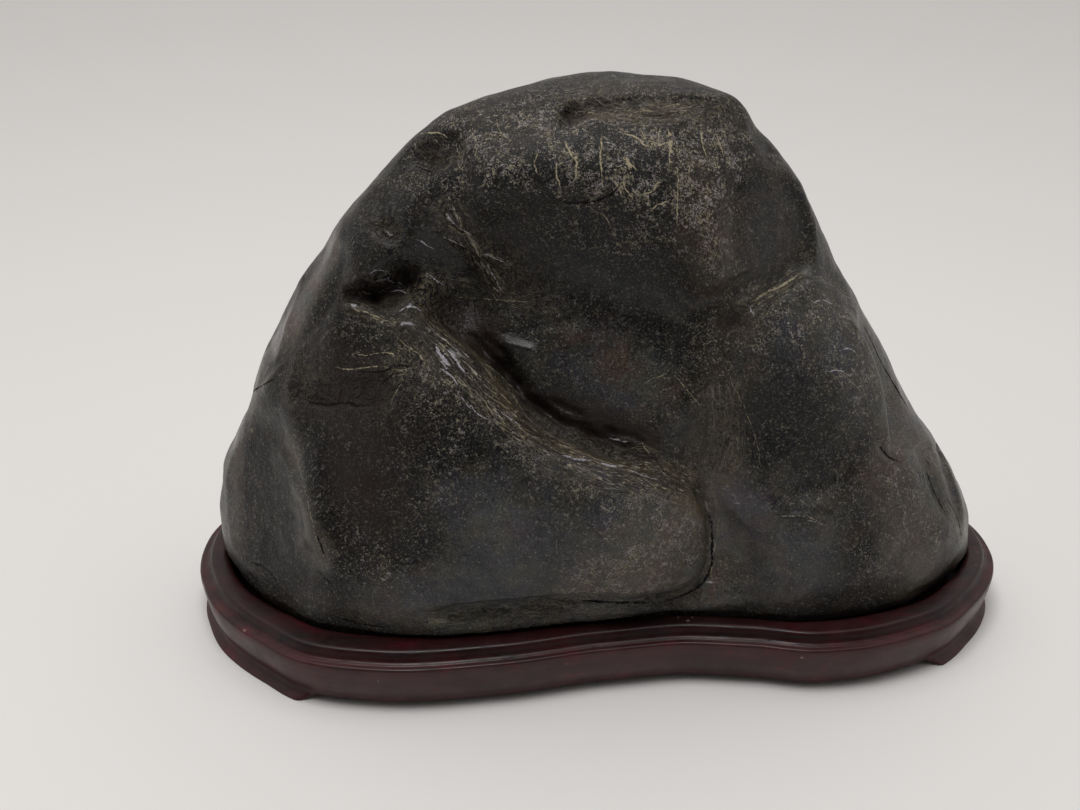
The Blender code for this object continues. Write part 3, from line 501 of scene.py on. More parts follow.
HAIRLINE_WANDER = {"scratch": 1.1, "glint": 0.8, "crack_and_shade": 0.9}
HAIRLINE_SPACING = 1.5
HAIRLINE_FADE = (0.3, 0.25)
# How far a hairline is looked for, how far it is drawn, and the way where there is none.
HAIRLINE_BOX = 4.0
HAIRLINE_REACH = 1.2
HAIRLINE_FAR = 9.0

# ---- colours beside those of the settings; a tint multiplies what lies under it ----
WARM_TINT = (1.24, 0.98, 0.80)
COOL_TINT = (0.84, 0.92, 1.30)
GREEN_TINT = (0.88, 1.06, 0.86)
VIOLET_TINT = (1.30, 0.80, 1.02)
PALE_GRAINS = (0.085, 0.078, 0.062)
DARK_GRAINS = (0.0030, 0.0027, 0.0030)
GREY_FLECKS = (0.31, 0.275, 0.265)
SPLINTER_EDGES = (0.105, 0.086, 0.055)
SPLINTER_GAPS = (0.0075, 0.0058, 0.0055)
# Dark brown with painted shade, for the hollows, crevices and pits.
UMBER_AND_SHADE = (0.014, 0.008, 0.006)
FIBRE_GROUND = (0.014, 0.010, 0.008)
PALE_STRAW = (0.50, 0.45, 0.36)
# The painted highlight of the glints, and the dark of the cracks, which also paints shadow lines
# under overhangs.
GLINT = (0.50, 0.48, 0.53)
CRACK_AND_SHADE = (0.0035, 0.0028, 0.0025)
WOOD_PORES = (0.004, 0.0012, 0.0012)
WOOD_STAIN_TINT = (1.7, 0.85, 0.95)
WOOD_CHIPS = (0.22, 0.14, 0.12)
WOOD_BOARD_TINT = (0.34, 0.42, 0.46)


# ---- curves ----
def smooth_curve(at, keys, values):
    """A smooth curve through (keys, values) that never overshoots them, read at given places."""
    keys = np.asarray(keys, float)
    values = np.asarray(values, float)
    steps = np.diff(keys)
    slopes = np.diff(values) / steps
    before, after = slopes[:-1], slopes[1:]
    same_way = before * after > 0.0
    tangents = np.empty_like(values)
    tangents[0], tangents[-1] = slopes[0], slopes[-1]
    tangents[1:-1] = np.where(
        same_way, 2.0 * before * after / np.where(same_way, before + after, 1.0), 0.0)
    at = np.clip(at, keys[0], keys[-1])
    span = np.clip(np.searchsorted(keys, at, side="right") - 1, 0, len(steps) - 1)
    t = (at - keys[span]) / steps[span]
    lean_in = tangents[span] * steps[span]
    lean_out = tangents[span + 1] * steps[span]
    return (values[span] * (1 + 2 * t) * (1 - t) ** 2 + lean_in * t * (1 - t) ** 2
            + values[span + 1] * t * t * (3 - 2 * t) - lean_out * t * t * (1 - t))


def ease(share):
    """0 to 1 with level ends."""
    share = np.clip(share, 0, 1)
    return share * share * (3 - 2 * share)


def taper(travelled, fade, start=0.0):
    """0 to 1 over the share of a path's length in which its ends fade."""
    return ease(np.minimum(travelled, 1 - travelled) / fade + start)


def fall_off(distance, reach, flatness=SOFT_EDGE):
    """1 on a path, running out to 0 beyond its reach."""
    return np.exp(-(distance / reach) ** flatness)


def rim_share(angle):
    """How far the rim's plan stands out from its ellipse at an angle in radians."""
    keys, shares = zip(*RIM_SHARES)
    keys = (keys[-1] - 360.0, *keys, 360.0, 360.0 + keys[1])
    shares = (shares[-1], *shares, shares[0], shares[1])
    return smooth_curve(np.degrees(angle) % 360.0, keys, shares)


def to_mesh(bm, name):
    mesh = bpy.data.meshes.new(name)
    bm.to_mesh(mesh)
    bm.free()
    return mesh


def to_scene(name, data):
    thing = bpy.data.objects.new(name, data)
    bpy.context.scene.collection.objects.link(thing)
    return thing


# ---- the stone's shape ----
def read_vectors(mesh, field):
    """A vector field of the mesh's points, such as co or normal."""
    vectors = np.empty(len(mesh.vertices) * 3)
    mesh.vertices.foreach_get(field, vectors)
    return vectors.reshape(-1, 3)


def set_points(mesh, points):
    mesh.vertices.foreach_set("co", (points * MM).ravel())
    mesh.update()


def sphere(cells):
    """A unit sphere of nearly square cells: a cube cut into a grid and blown up."""
    bm = bmesh.new()
    bmesh.ops.create_cube(bm, size=2.0)
    bmesh.ops.subdivide_edges(bm, edges=bm.edges[:], cuts=cells - 1, use_grid_fill=True)
    mesh = to_mesh(bm, "fine_stone")
    points = np.tan(read_vectors(mesh, "co") * math.pi / 4)
    points /= np.linalg.norm(points, axis=1)[:, None]
    return mesh, points


def stone_body(directions):
    """The stone's plain body: the level sections, lofted over a sphere's directions."""
    share = 1.0 - np.arccos(np.clip(directions[:, 2], -1, 1)) / math.pi
    around = np.arctan2(directions[:, 1], directions[:, 0])
    angle = around + STONE_SQUARENESS * np.sin(2 * around)
    keys, *columns = np.array(STONE_LEVELS).T
    height, left, right, front, back = (smooth_curve(share, keys, column) for column in columns)
    swell = 1 + smooth_curve(height, *RIM_LIKE) * (rim_share(angle) - 1)
    x = (left + right) / 2 + (right - left) / 2 * np.cos(angle) * swell
    y = (front + back) / 2 + (back - front) / 2 * np.sin(angle) * swell
    return np.stack([x, y, height], axis=1)


def seat_limit(points):
    """Draws what lies inside the seat in from the seat's wall."""
    half_width = STAND_WIDTH / 2 * SEAT_ACROSS - SEAT_GAP
    half_depth = STAND_DEPTH / 2 * SEAT_DEEP - SEAT_GAP
    across, deep = points[:, 0] / half_width, points[:, 1] / half_depth
    spread = np.hypot(across, deep) / rim_share(np.arctan2(deep, across))
    inside = points[:, 2] < STAND_TOP + SEAT_CLEAR
    tight = np.where(inside, np.minimum(1.0, 1.0 / np.maximum(spread, 1e-6)), 1.0)
    points[:, :2] *= tight[:, None]
    points[:, 2] = np.maximum(points[:, 2], STONE_LEVELS[0][1])


def surface_finder(mesh):
    """A search tree over the mesh, in millimetres."""
    bm = bmesh.new()
    bm.from_mesh(mesh)
    bmesh.ops.scale(bm, vec=(1 / MM,) * 3, verts=bm.verts[:])
    tree = BVHTree.FromBMesh(bm)
    bm.free()
    return tree


def square_on(side):
    """Rays square on to the stone, looking 30 degrees down from the front (1) or the back (-1)."""
    forward = Vector((0, side * math.cos(VIEW_DOWN), -math.sin(VIEW_DOWN)))
    upward = Vector((0, side * math.sin(VIEW_DOWN), math.cos(VIEW_DOWN)))

    def ray(across, up):
        return Vector((side * across, 0, 0)) + upward * up - forward * RAY_START, forward
    return ray


def through_camera(across, down):
    """The ray from the camera through a place in the front view."""
    way = Vector(((across - VIEW_WIDTH / 2) / FOCAL_PIXELS,
                  (VIEW_HEIGHT / 2 - down) / FOCAL_PIXELS, -1.0))
    way = Matrix.Rotation(CAMERA_TILT, 3, "X") @ way.normalized()
    return Vector(CAMERA_PLACE) / MM, way


def find_places(tree, path, ray):
    """The places where the path's rays meet the stone, and the surface's normals there."""
    found = []
    for across, along in path:
        start, way = ray(across, along)
        place, normal, face, distance = tree.ray_cast(start, way)
        if place is None:
            place, normal, face, distance = tree.find_nearest(start + way * RAY_MISS)
        found.append((place, normal))
    return tuple(np.array(column) for column in zip(*found))


def lay_path(tree, path, ray, spacing=PATH_SPACING):
    """The path's points laid on the surface, closely spaced, with its normals there."""
    path = np.array(path, float).reshape(-1, 2)
    corners, outward = find_places(tree, path, ray)
    if len(path) == 1:
        return corners, outward
    legs = np.linalg.norm(np.diff(corners, axis=0), axis=1)
    along = np.concatenate([[0.0], np.cumsum(legs)])
    fine = np.linspace(0, along[-1], max(3, int(along[-1] / spacing)))
    path = np.stack([smooth_curve(fine, along, path[:, axis]) for axis in (0, 1)], axis=1)
    return find_places(tree, path, ray)


def within(points, places, reach):
    """Which points lie in a box that reaches past some places."""
    low = places.min(axis=0) - reach
    high = places.max(axis=0) + reach
    return np.nonzero(np.all((points > low) & (points < high), axis=1))[0]


def measure(points, places, outward, reach):
    """Distance from a laid path, its side (+1 is the right hand) and the share along it."""
    near = within(points, places, reach)
    some = points[near]
    if len(places) == 1:
        distance = np.linalg.norm(some - places[0], axis=1)
        return near, distance, np.ones(len(near)), np.full(len(near), 0.5)
    legs = np.diff(places, axis=0)
    lengths = np.maximum(np.linalg.norm(legs, axis=1), 1e-6)
    along = np.concatenate([[0.0], np.cumsum(lengths)])
    best = np.full(len(near), np.inf)
    hand = np.ones(len(near))
    travelled = np.zeros(len(near))
    for leg, length in enumerate(lengths):
        offset = some - places[leg]
        share = np.clip(offset @ legs[leg] / length ** 2, 0, 1)
        offset -= share[:, None] * legs[leg]
        distance = np.linalg.norm(offset, axis=1)
        nearer = distance < best
        best = np.where(nearer, distance, best)
        side = np.sign(offset @ np.cross(legs[leg], outward[leg]))
        hand = np.where(nearer, side, hand)
        travelled = np.where(nearer, (along[leg] + share * length) / along[-1], travelled)
    return near, best, hand, travelled


def path_length(places):
    return np.linalg.norm(np.diff(places, axis=0), axis=1).sum()


def press(mesh, points, marks, ray, straight=False):
    """Presses marks into the stone, or raises them, along its normals or straight in."""
    tree = surface_finder(mesh)
    normals = read_vectors(mesh, "normal")
    shift = np.zeros(len(points))
    for depth, left, right, flatness, fade, *path in marks.values():
        places, outward = lay_path(tree, path, ray)
        near, distance, hand, travelled = measure(
            points, places, outward, MARK_MARGIN * max(left, right))
        strength = depth * fall_off(distance, np.where(hand > 0, right, left), flatness)
        if fade:
            strength = strength * taper(travelled, fade)
        facing = np.clip((normals[near] * outward.mean(axis=0)).sum(axis=1) * 2, 0, 1)
        shift[near] += strength * facing
    if straight:
        points += np.array(ray(VIEW_WIDTH / 2, VIEW_HEIGHT / 2)[1]) * shift[:, None]
    else:
        points -= normals * shift[:, None]
    set_points(mesh, points)


def wear_flat(mesh, points, facets, ray):
    """Wears flat places on the stone, each ending in a crisp edge."""
    tree = surface_finder(mesh)
    normals = read_vectors(mesh, "normal")
    for depth, reach, lean_right, lean_up, *place in facets.values():
        centres, outward = find_places(tree, [place], ray)
        distance = np.linalg.norm(points - centres[0], axis=1)
        around = distance < reach / 2
        outward = normals[around].mean(axis=0) + (lean_right, 0, lean_up)
        outward /= np.linalg.norm(outward)
        level = (points[around] @ outward).max() - depth
        proud = np.maximum(points @ outward - level, 0)
        proud *= ease((1 + FACET_RIM - distance / reach) / FACET_RIM)
        points -= proud[:, None] * outward
    set_points(mesh, points)


def wrinkle(mesh, points, wrinkles, ray):
    """Raises wrinkles that run along their paths."""
    tree = surface_finder(mesh)
    normals = read_vectors(mesh, "normal")
    for seed, (height, spacing, left, right, *path) in enumerate(wrinkles.values()):
        places, outward = lay_path(tree, path, ray)
        near, distance, hand, travelled = measure(
            points, places, outward, WRINKLE_MARGIN * max(left, right))
        across = distance * hand / spacing
        along = travelled * path_length(places) / spacing * WRINKLE_DRAWN_OUT
        lift = np.array([noise.noise(Vector((a, b, WRINKLE_APART * seed)))
                         for a, b in zip(across, along)])
        lift = WRINKLE_LEVEL - np.abs(lift) * 2.0
        lift *= height * fall_off(distance, np.where(hand > 0, right, left))
        lift *= taper(travelled, WRINKLE_FADE)
        points[near] += normals[near] * lift[:, None]
    set_points(mesh, points)


def roughen(mesh, points, swells):
    """Raises soft, uneven swells along the surface's normals."""
    normals = read_vectors(mesh, "normal")
    for spacing, height in swells:
        lift = [noise.noise(Vector(point) / spacing) for point in points]
        points += normals * (np.array(lift) * height)[:, None]
    set_points(mesh, points)


def soften(mesh, rounds):
    """Rubs the sharpest edges down, as water does."""
    bm = bmesh.new()
    bm.from_mesh(mesh)
    for turn in range(rounds):
        bmesh.ops.smooth_vert(bm, verts=bm.verts[:], factor=0.5,
                              use_axis_x=True, use_axis_y=True, use_axis_z=True)
    bm.to_mesh(mesh)
    bm.free()


def thin_out(mesh, triangles):
    """Collapses the flattest places of the mesh to a number of triangles."""
    holder = to_scene("holder", mesh)
    thin = holder.modifiers.new("thin out", "DECIMATE")
    thin.ratio = triangles / (2.0 * len(mesh.polygons))
    thinned = bpy.data.meshes.new_from_object(
        holder.evaluated_get(bpy.context.evaluated_depsgraph_get()))
    bpy.data.objects.remove(holder)
    bpy.data.meshes.remove(mesh)
    return thinned


def stone_mesh():
    mesh, directions = sphere(STONE_CELLS)
    points = stone_body(directions)
    set_points(mesh, points)
    roughen(mesh, points, SWELLS)
    press(mesh, points, FORMS, square_on(1))
    press(mesh, points, BACK_FORMS, square_on(-1))
    wear_flat(mesh, points, FACETS, through_camera)
    press(mesh, points, CUTS, through_camera, straight=True)
    press(mesh, points, SLOTS, through_camera, straight=True)
    press(mesh, points, DETAILS, through_camera)
    press(mesh, points, BACK_DETAILS, square_on(-1))
    wrinkle(mesh, points, WRINKLES, through_camera)
    roughen(mesh, points, RIPPLES)
    seat_limit(points)
    set_points(mesh, points)
    soften(mesh, STONE_SOFTENING)
    return thin_out(mesh, STONE_TRIANGLES)


# ---- the stone's marks, written as attributes ----
def write_attribute(mesh, name, values):
    """Writes a number or a vector at each point."""
    kind, field = ("FLOAT", "value") if values.ndim == 1 else ("FLOAT_VECTOR", "vector")
    mesh.attributes.new(name, kind, "POINT").data.foreach_set(field, values.ravel())


def add_strokes(mesh, points, tree):
    """Writes each layer of broad strokes, from 0 to 1."""
    for name, (start, strokes) in STROKES.items():
        values = np.full(len(points), start)
        for amount, reach, *path in strokes:
            places, outward = lay_path(tree, path, through_camera)
            near, distance, hand, travelled = measure(
                points, places, outward, STROKE_MARGIN * reach)
            values[near] += amount * fall_off(distance, reach)
        write_attribute(mesh, name, np.clip(values, 0, 1))


def add_bands(mesh, points, tree):
    """Writes how far each point lies across and along the nearest band, and its strength there."""
    lie = np.zeros((len(points), 3))
    for index, (reach, strength, *path) in enumerate(BANDS):
        places, outward = lay_path(tree, path, through_camera)
        near, distance, hand, travelled = measure(
            points, places, outward, STROKE_MARGIN * reach)
        force = strength * fall_off(distance, reach) * taper(travelled, *BAND_FADE)
        stronger = force > lie[near, 2]
        across = distance * hand + BANDS_APART * index
        along = travelled * path_length(places)
        lie[near[stronger]] = np.stack([across, along, force], axis=1)[stronger]
    write_attribute(mesh, "band", lie)


def add_hairlines(mesh, points, tree, name, lines):
    """Writes the way to the nearest hairline, and the hairline's half width there.

    The way crosses zero on the line itself, so the line stays sharper than the mesh.
    """
    way = np.full((len(points), 3), HAIRLINE_FAR)
    width = np.zeros(len(points))
    nearest = np.full(len(points), np.inf)
    for half_width, *path in lines:
        places, outward = lay_path(tree, path, through_camera, HAIRLINE_SPACING)
        near = within(points, places, HAIRLINE_BOX)
        some = points[near]
        legs = len(places) - 1
        for leg in range(legs):
            run = places[leg + 1] - places[leg]
            share = np.clip((some - places[leg]) @ run / max(run @ run, 1e-9), 0, 1)
            offset = places[leg] + share[:, None] * run - some
            distance = np.linalg.norm(offset, axis=1)
            nearer = distance < nearest[near]
            pick = near[nearer]
            nearest[pick] = distance[nearer]
            way[pick] = offset[nearer]
            full = half_width * taper((leg + share[nearer]) / legs, *HAIRLINE_FADE)
            width[pick] = np.where(distance[nearer] < HAIRLINE_REACH, full, 0.0)
    write_attribute(mesh, name + "_way", way)
    write_attribute(mesh, name + "_width", width)


# ---- nodes ----
class Signal:
    """What a node puts out. Sums and products of signals add Math nodes to its tree."""

    def __init__(self, node, output=0):
        self.tree = node.id_data
        self.socket = node.outputs[output]

    def reckon(self, operation, other=0.0, turned=False, clamp=False):
        first, second = (other, self) if turned else (self, other)
        return Signal(add(self.tree, "ShaderNodeMath", {0: first, 1: second},
                          operation=operation, use_clamp=clamp))

    def __add__(self, other):
        return self.reckon("ADD", other)

    def __sub__(self, other):
        return self.reckon("SUBTRACT", other)

    def __rsub__(self, other):
        return self.reckon("SUBTRACT", other, turned=True)

    def __mul__(self, other):
        return self.reckon("MULTIPLY", other)

    def __truediv__(self, other):
        return self.reckon("DIVIDE", other)

    def __rtruediv__(self, other):
        return self.reckon("DIVIDE", other, turned=True)

    def __abs__(self):
        return self.reckon("ABSOLUTE")


def feed(node, sockets):
    """Gives sockets their values, or links the signals that feed them."""
    for key, value in sockets.items():
        if isinstance(value, Signal):
            node.id_data.links.new(value.socket, node.inputs[key])
        else:
            node.inputs[key].default_value = value


def add(tree, kind, sockets=(), **settings):
    node = tree.nodes.new(kind)
    for field, value in settings.items():
        setattr(node, field, value)
    feed(node, dict(sockets))
    return node


def larger(first, second):
    return first.reckon("MAXIMUM", second)


def vector_math(operation, sockets, output=0):
    return Signal(add(sockets[0].tree, "ShaderNodeVectorMath", sockets, operation=operation),
                  output)


def split(vector):
    """A vector's or a colour's three parts."""
    node = add(vector.tree, "ShaderNodeSeparateXYZ", {0: vector})
    return [Signal(node, axis) for axis in "XYZ"]


def colour(value):
    return value if isinstance(value, Signal) else (*value, 1.0)


def mix(amount, first, second, blend="MIX"):
    """Goes from the first colour to the second as the amount goes from 0 to 1."""
    sockets = {0: amount, 6: colour(first), 7: colour(second)}
    return Signal(add(amount.tree, "ShaderNodeMix", sockets, data_type="RGBA",
                      blend_type=blend, clamp_factor=True), 2)


def soft_step(value, low, high, start=0.0, end=1.0):
    sockets = {"Value": value, "From Min": low, "From Max": high, "To Min": start, "To Max": end}
    return Signal(add(value.tree, "ShaderNodeMapRange", sockets,
                      interpolation_type="SMOOTHSTEP"))


def noise_field(place, output="Fac", **sockets):
    """Noise at a place, from 0 to 1."""
    return Signal(add(place.tree, "ShaderNodeTexNoise", {"Vector": place, **sockets}), output)


def grain(place, size, detail=2.0, roughness=0.5, distortion=0.0):
    """Noise whose grains are about size millimetres across."""
    return noise_field(place, Scale=1 / (size * MM), Detail=detail, Roughness=roughness,
                       Distortion=distortion)


def layer(tree, name, output="Fac"):
    return Signal(add(tree, "ShaderNodeAttribute", attribute_name=name), output)


def open_group(name, **inputs):
    """A new node group and its inputs: a place is None, a number has its default."""
    group = bpy.data.node_groups.new(name, "ShaderNodeTree")
    for label, start in inputs.items():
        kind = "NodeSocketVector" if start is None else "NodeSocketFloat"
        socket = group.interface.new_socket(label, in_out="INPUT", socket_type=kind)
        if start is not None:
            socket.default_value = start
    entry = group.nodes.new("NodeGroupInput")
    return group, [Signal(entry, label) for label in inputs]


def close_group(group, **outputs):
    """Gives a node group its outputs, which are masks and tones."""
    for label in outputs:
        group.interface.new_socket(label, in_out="OUTPUT", socket_type="NodeSocketFloat")
    feed(group.nodes.new("NodeGroupOutput"), outputs)
    return group


def place_group(tree, group, **sockets):
    """Places a group in a tree and gives its outputs by name."""
    node = add(tree, "ShaderNodeGroup", sockets, node_tree=group)
    return {output.name: Signal(node, output.name) for output in node.outputs}


def hairline_group(name):
    """A mask of the hairlines that a mesh carries under a name, wandering and worn in places."""
    group, (place, wander) = open_group(name, Place=None, Wander=0.6)
    drift = noise_field(place, "Color", Scale=1 / (2.2 * MM), Detail=2.0)
    drift = vector_math("SUBTRACT", {0: drift, 1: (0.5, 0.5, 0.5)})
    normal = Signal(add(group, "ShaderNodeNewGeometry"), "Normal")
    drift = vector_math("CROSS_PRODUCT", {0: drift, 1: normal})
    drift = vector_math("SCALE", {0: drift, "Scale": wander})
    way = vector_math("ADD", {0: layer(group, name + "_way", "Vector"), 1: drift})
    width = layer(group, name + "_width")
    worn = soft_step(grain(place, 1.3, 3.0, 0.7), 0.34, 0.56, 0.2, 1.3)
    depth = width * worn - vector_math("LENGTH", {0: way}, "Value")
    return close_group(group, Mask=soft_step(depth, -0.08, 0.10) * soft_step(width, 0.02, 0.10))


def fibre_group():
    """Fine strands that run along a mesh's bands."""
    group, (width, share) = open_group("fibres", Width=1.0, Share=0.5)
    across, along, strength = split(layer(group, "band", "Vector"))
    spot = Signal(add(group, "ShaderNodeCombineXYZ",
                      {"X": across / width, "Y": along / (width * 7.0)}))
    line = noise_field(spot, Scale=1.0, Detail=1.5, Roughness=0.5, Distortion=0.6)
    line = soft_step(abs(line - 0.5), 0.035, 0.008)
    gate = noise_field(spot, Scale=0.45, Detail=3.0) + (share - 0.5)
    line = line * soft_step(gate, 0.44, 0.60)
    return close_group(group, Strands=line * strength, Strength=strength)


def speck_group():
    """Separate specks of uneven size, on a share of the places where one could be."""
    group, (place, size, share) = open_group("specks", Place=None, Size=1.0, Share=0.3)
    spots = add(group, "ShaderNodeTexVoronoi", {"Vector": place, "Scale": 1 / MM / size},
                feature="F1")
    bulk, luck, pick = split(Signal(spots, "Color"))
    mask = soft_step(bulk * 0.24 + 0.20 - Signal(spots, "Distance"), -0.04, 0.08)
    return close_group(group, Mask=mask * soft_step(share - luck, -0.01, 0.01), Pick=pick)


def mottle_group():
    """Uneven tone at a broad and a fine size, about the middle value 0.5."""
    group, (place, broad, fine) = open_group("mottle", Place=None, Broad=30.0, Fine=240.0)
    tone = noise_field(place, Scale=broad, Detail=3.0) + noise_field(place, Scale=fine, Detail=4.0)
    return close_group(group, Tone=tone * 0.5)


def new_material(name):
    material = bpy.data.materials.new(name)
    material.use_nodes = True
    return material, material.node_tree.nodes["Principled BSDF"]


# ---- materials ----
def stone_material(look):
    material, shader = new_material("dark stone")
    tree = material.node_tree
    place = Signal(add(tree, "ShaderNodeTexCoord"), "Object")
    pale, warm, flecks, patina, umber_and_shade, violet, broken, polish = (
        layer(tree, name) for name in STROKES)
    scratch, glint, crack_and_shade = (
        place_group(tree, hairline_group(name), Place=place, Wander=wander)["Mask"]
        for name, wander in HAIRLINE_WANDER.items())
    fibres = fibre_group()
    wide = place_group(tree, fibres, Width=1.1, Share=0.50)
    thin = place_group(tree, fibres, Width=0.6, Share=0.50)
    strands = larger(wide["Strands"], thin["Strands"])

    # The body: its tone (with painted light and shade), its patches of hue and its finest grain.
    tone = place_group(tree, mottle_group(), Place=place, Broad=45.0, Fine=260.0)["Tone"]
    tone = (tone - 0.5) * 2.0 + (pale - 0.5) * 1.7
    body = mix(tone.reckon("ADD", 0.36, clamp=True), look.dark_colour, look.pale_colour)
    hue = grain(place, 11.0, 4.0, 0.65) + (warm - 0.5) * 0.40
    green = grain(place, 16.0, 3.0, 0.6)
    violet = grain(place, 8.0, 4.0, 0.65) + violet * 0.13
    fine = grain(place, 0.7, 2.0, 0.75)
    for value, low, high, most, rgb, blend in (
            (hue, 0.50, 0.64, 0.9, WARM_TINT, "MULTIPLY"),
            (hue, 0.48, 0.34, 0.9, COOL_TINT, "MULTIPLY"),
            (green, 0.50, 0.64, 0.6, GREEN_TINT, "MULTIPLY"),
            (violet, 0.55, 0.66, 0.6, VIOLET_TINT, "MULTIPLY"),
            (fine, 0.50, 0.70, 0.40, PALE_GRAINS, "MIX"),
            (fine, 0.49, 0.34, 0.65, DARK_GRAINS, "MIX")):
        body = mix(soft_step(value, low, high, 0.0, most), body, rgb, blend)

    # Pale flecks: small uneven grains in two sizes, and short worm-like threads.
    patchy = soft_step(grain(place, 6.0, 4.0, 0.65), 0.34, 0.66, 0.25, 1.35)
    density = flecks * patchy * (1.0 - polish)
    bright = soft_step(density, 0.05, 0.75, 0.30, 0.90)
    specks = speck_group()
    dots = []
    for size, least, more in ((0.55, 0.20, 0.45), (0.95, 0.08, 0.30)):
        speck = place_group(tree, specks, Place=place, Size=size, Share=density * more + least)
        dots.append(speck["Mask"] * soft_step(speck["Pick"], 0.0, 1.0, 0.35, 1.0))
    dots = larger(*dots) * bright
    threads = []
    for size, thick, gap, wander in ((0.9, 0.060, 0.8, 1.6), (2.0, 0.040, 1.5, 1.4)):
        line = soft_step(abs(grain(place, size, 1.0, 0.5, wander) - 0.5), thick, thick * 0.4)
        here = grain(place, gap, 2.0, 0.5) + density * 0.16
        threads.append(line * soft_step(here, 0.60, 0.66))
    threads = larger(*threads) * bright
    cream = mix(soft_step(grain(place, 2.6, 2.0, 0.6), 0.40, 0.60), look.fleck_colour,
                GREY_FLECKS)

    # Splinters in the broken places, tan patina, dark brown with painted shade in the hollows, and
    # the lines.
    splinter = soft_step(abs(grain(place, 3.2, 3.0, 0.6, 0.9) - 0.5), 0.0, 0.14)
    stain = soft_step(patina + (grain(place, 2.2, 4.0, 0.7) - 0.5) * 1.3, 0.25, 0.85)
    umber_and_shade_mask = soft_step(umber_and_shade + (grain(place, 4.5, 4.0, 0.65) - 0.5), 0.15, 0.8)
    straw = mix(soft_step(grain(place, 5.0, 2.0, 0.6), 0.42, 0.58), look.line_colour, PALE_STRAW)
    # The glints here are painted highlights, and the cracks include painted shadow lines under
    # overhangs.
    for amount, rgb in (
            (dots, cream), (threads, cream),
            (broken * soft_step(splinter, 0.35, 0.05, 0.0, 0.75), SPLINTER_EDGES),
            (broken * soft_step(splinter, 0.75, 1.0, 0.0, 0.7), SPLINTER_GAPS),
            (stain * 0.75, look.patina_colour), (umber_and_shade_mask * 0.8, UMBER_AND_SHADE),
            (scratch * 0.9, look.line_colour), (thin["Strength"] * 0.55, FIBRE_GROUND),
            (strands, straw), (glint * 0.75, GLINT), (crack_and_shade, CRACK_AND_SHADE)):
        body = mix(amount, body, rgb)

    dull = soft_step(grain(place, 5.0, 4.0, 0.6), 0.3, 0.7, 0.27, 0.42)
    dull = dull - polish * 0.13 + flecks * 0.24 + crack_and_shade * 0.5
    gloss = tone * 0.35 + polish * 0.45 - umber_and_shade * 0.4 - flecks * 0.25 - crack_and_shade
    relief = (fine * 0.5 + dots * 0.35 + threads * 0.5 + larger(scratch, strands) * 0.9
              - crack_and_shade * 0.9 + grain(place, 3.0, 4.0, 0.6) * 1.2)
    bump = add(tree, "ShaderNodeBump",
               {"Height": relief, "Strength": look.relief, "Distance": 0.4 * MM})
    deeper = add(tree, "ShaderNodeBump",
                 {"Height": broken * (1.0 - splinter), "Strength": 0.9, "Distance": 0.9 * MM,
                  "Normal": Signal(bump)})
    feed(shader, {
        "Base Color": body, "Roughness": dull.reckon("ADD", dots * 0.12, clamp=True),
        "Normal": Signal(deeper), "Specular IOR Level": look.sheen,
        "Coat Weight": gloss.reckon("ADD", 0.12, clamp=True), "Coat Roughness": 0.24})
    return material


def wood_material(look):
    material, shader = new_material("varnished wood")
    tree = material.node_tree
    place = Signal(add(tree, "ShaderNodeTexCoord"), "Object")
    along = Signal(add(tree, "ShaderNodeMapping", {"Vector": place, "Scale": (0.06, 1.0, 1.0)}))
    fibre = grain(along, 1.1, 5.0, 0.65)
    pores = soft_step(fibre, 0.40, 0.30)
    tone = (fibre + grain(along, 7.0, 3.0, 0.5)) * 0.5
    height = split(place)[2]
    # The apron under the rim is made lighter and greyer: partly a dusty film, partly painted sheen
    # where the apron faces the pale floor.
    dust_and_sheen = (soft_step(height, DUST_AND_SHEEN_TOP * MM, DUST_AND_SHEEN_FULL * MM)
            * soft_step(grain(place, 9.0, 5.0, 0.65), 0.30, 0.70, 0.25, 0.60))
    stain = soft_step(grain(place, 13.0, 3.0, 0.6), 0.54, 0.68, 0.0, 0.7)
    chips = place_group(tree, speck_group(), Place=place, Size=1.8, Share=0.006)["Mask"]
    board = soft_step(height, BOARD_FOOT * MM, BOARD_FULL * MM, 0.0, 0.75)
    body = mix(soft_step(tone, 0.36, 0.64), look.dark_colour, look.red_colour)
    for amount, rgb, blend in (
            (pores * 0.6, WOOD_PORES, "MIX"), (dust_and_sheen, look.dust_and_sheen_colour, "MIX"),
            (stain, WOOD_STAIN_TINT, "MULTIPLY"), (chips, WOOD_CHIPS, "MIX"),
            (board, WOOD_BOARD_TINT, "MULTIPLY")):
        body = mix(amount, body, rgb, blend)
    bump = add(tree, "ShaderNodeBump",
               {"Height": fibre * 0.7 - pores, "Strength": 0.35, "Distance": 0.12 * MM})
    feed(shader, {
        "Base Color": body, "Normal": Signal(bump), "Specular IOR Level": 0.32,
        "Roughness": soft_step(grain(place, 6.0, 4.0, 0.6), 0.3, 0.7, 0.30, 0.46)})
    return material


# ---- the stand's shape ----
def rim_point(angle, inset, height):
    """A point of the stand: on the rim's plan, drawn in square to it by the inset."""
    step = 1e-3
    ends = []
    for turn in (angle - step, angle, angle + step):
        share = rim_share(turn)
        ends.append(np.array([STAND_WIDTH / 2 * share * math.cos(turn),
                              STAND_DEPTH / 2 * share * math.sin(turn)]))
    run = ends[2] - ends[0]
    inward = np.array([-run[1], run[0]]) / np.linalg.norm(run)
    return Vector((*(ends[1] + inward * inset), height))


def seat_point(angle, height, outset=0.0):
    share = rim_share(angle)
    x = (STAND_WIDTH / 2 * SEAT_ACROSS + outset) * share * math.cos(angle)
    y = (STAND_DEPTH / 2 * SEAT_DEEP + outset) * share * math.sin(angle)
    return Vector((x, y, height))


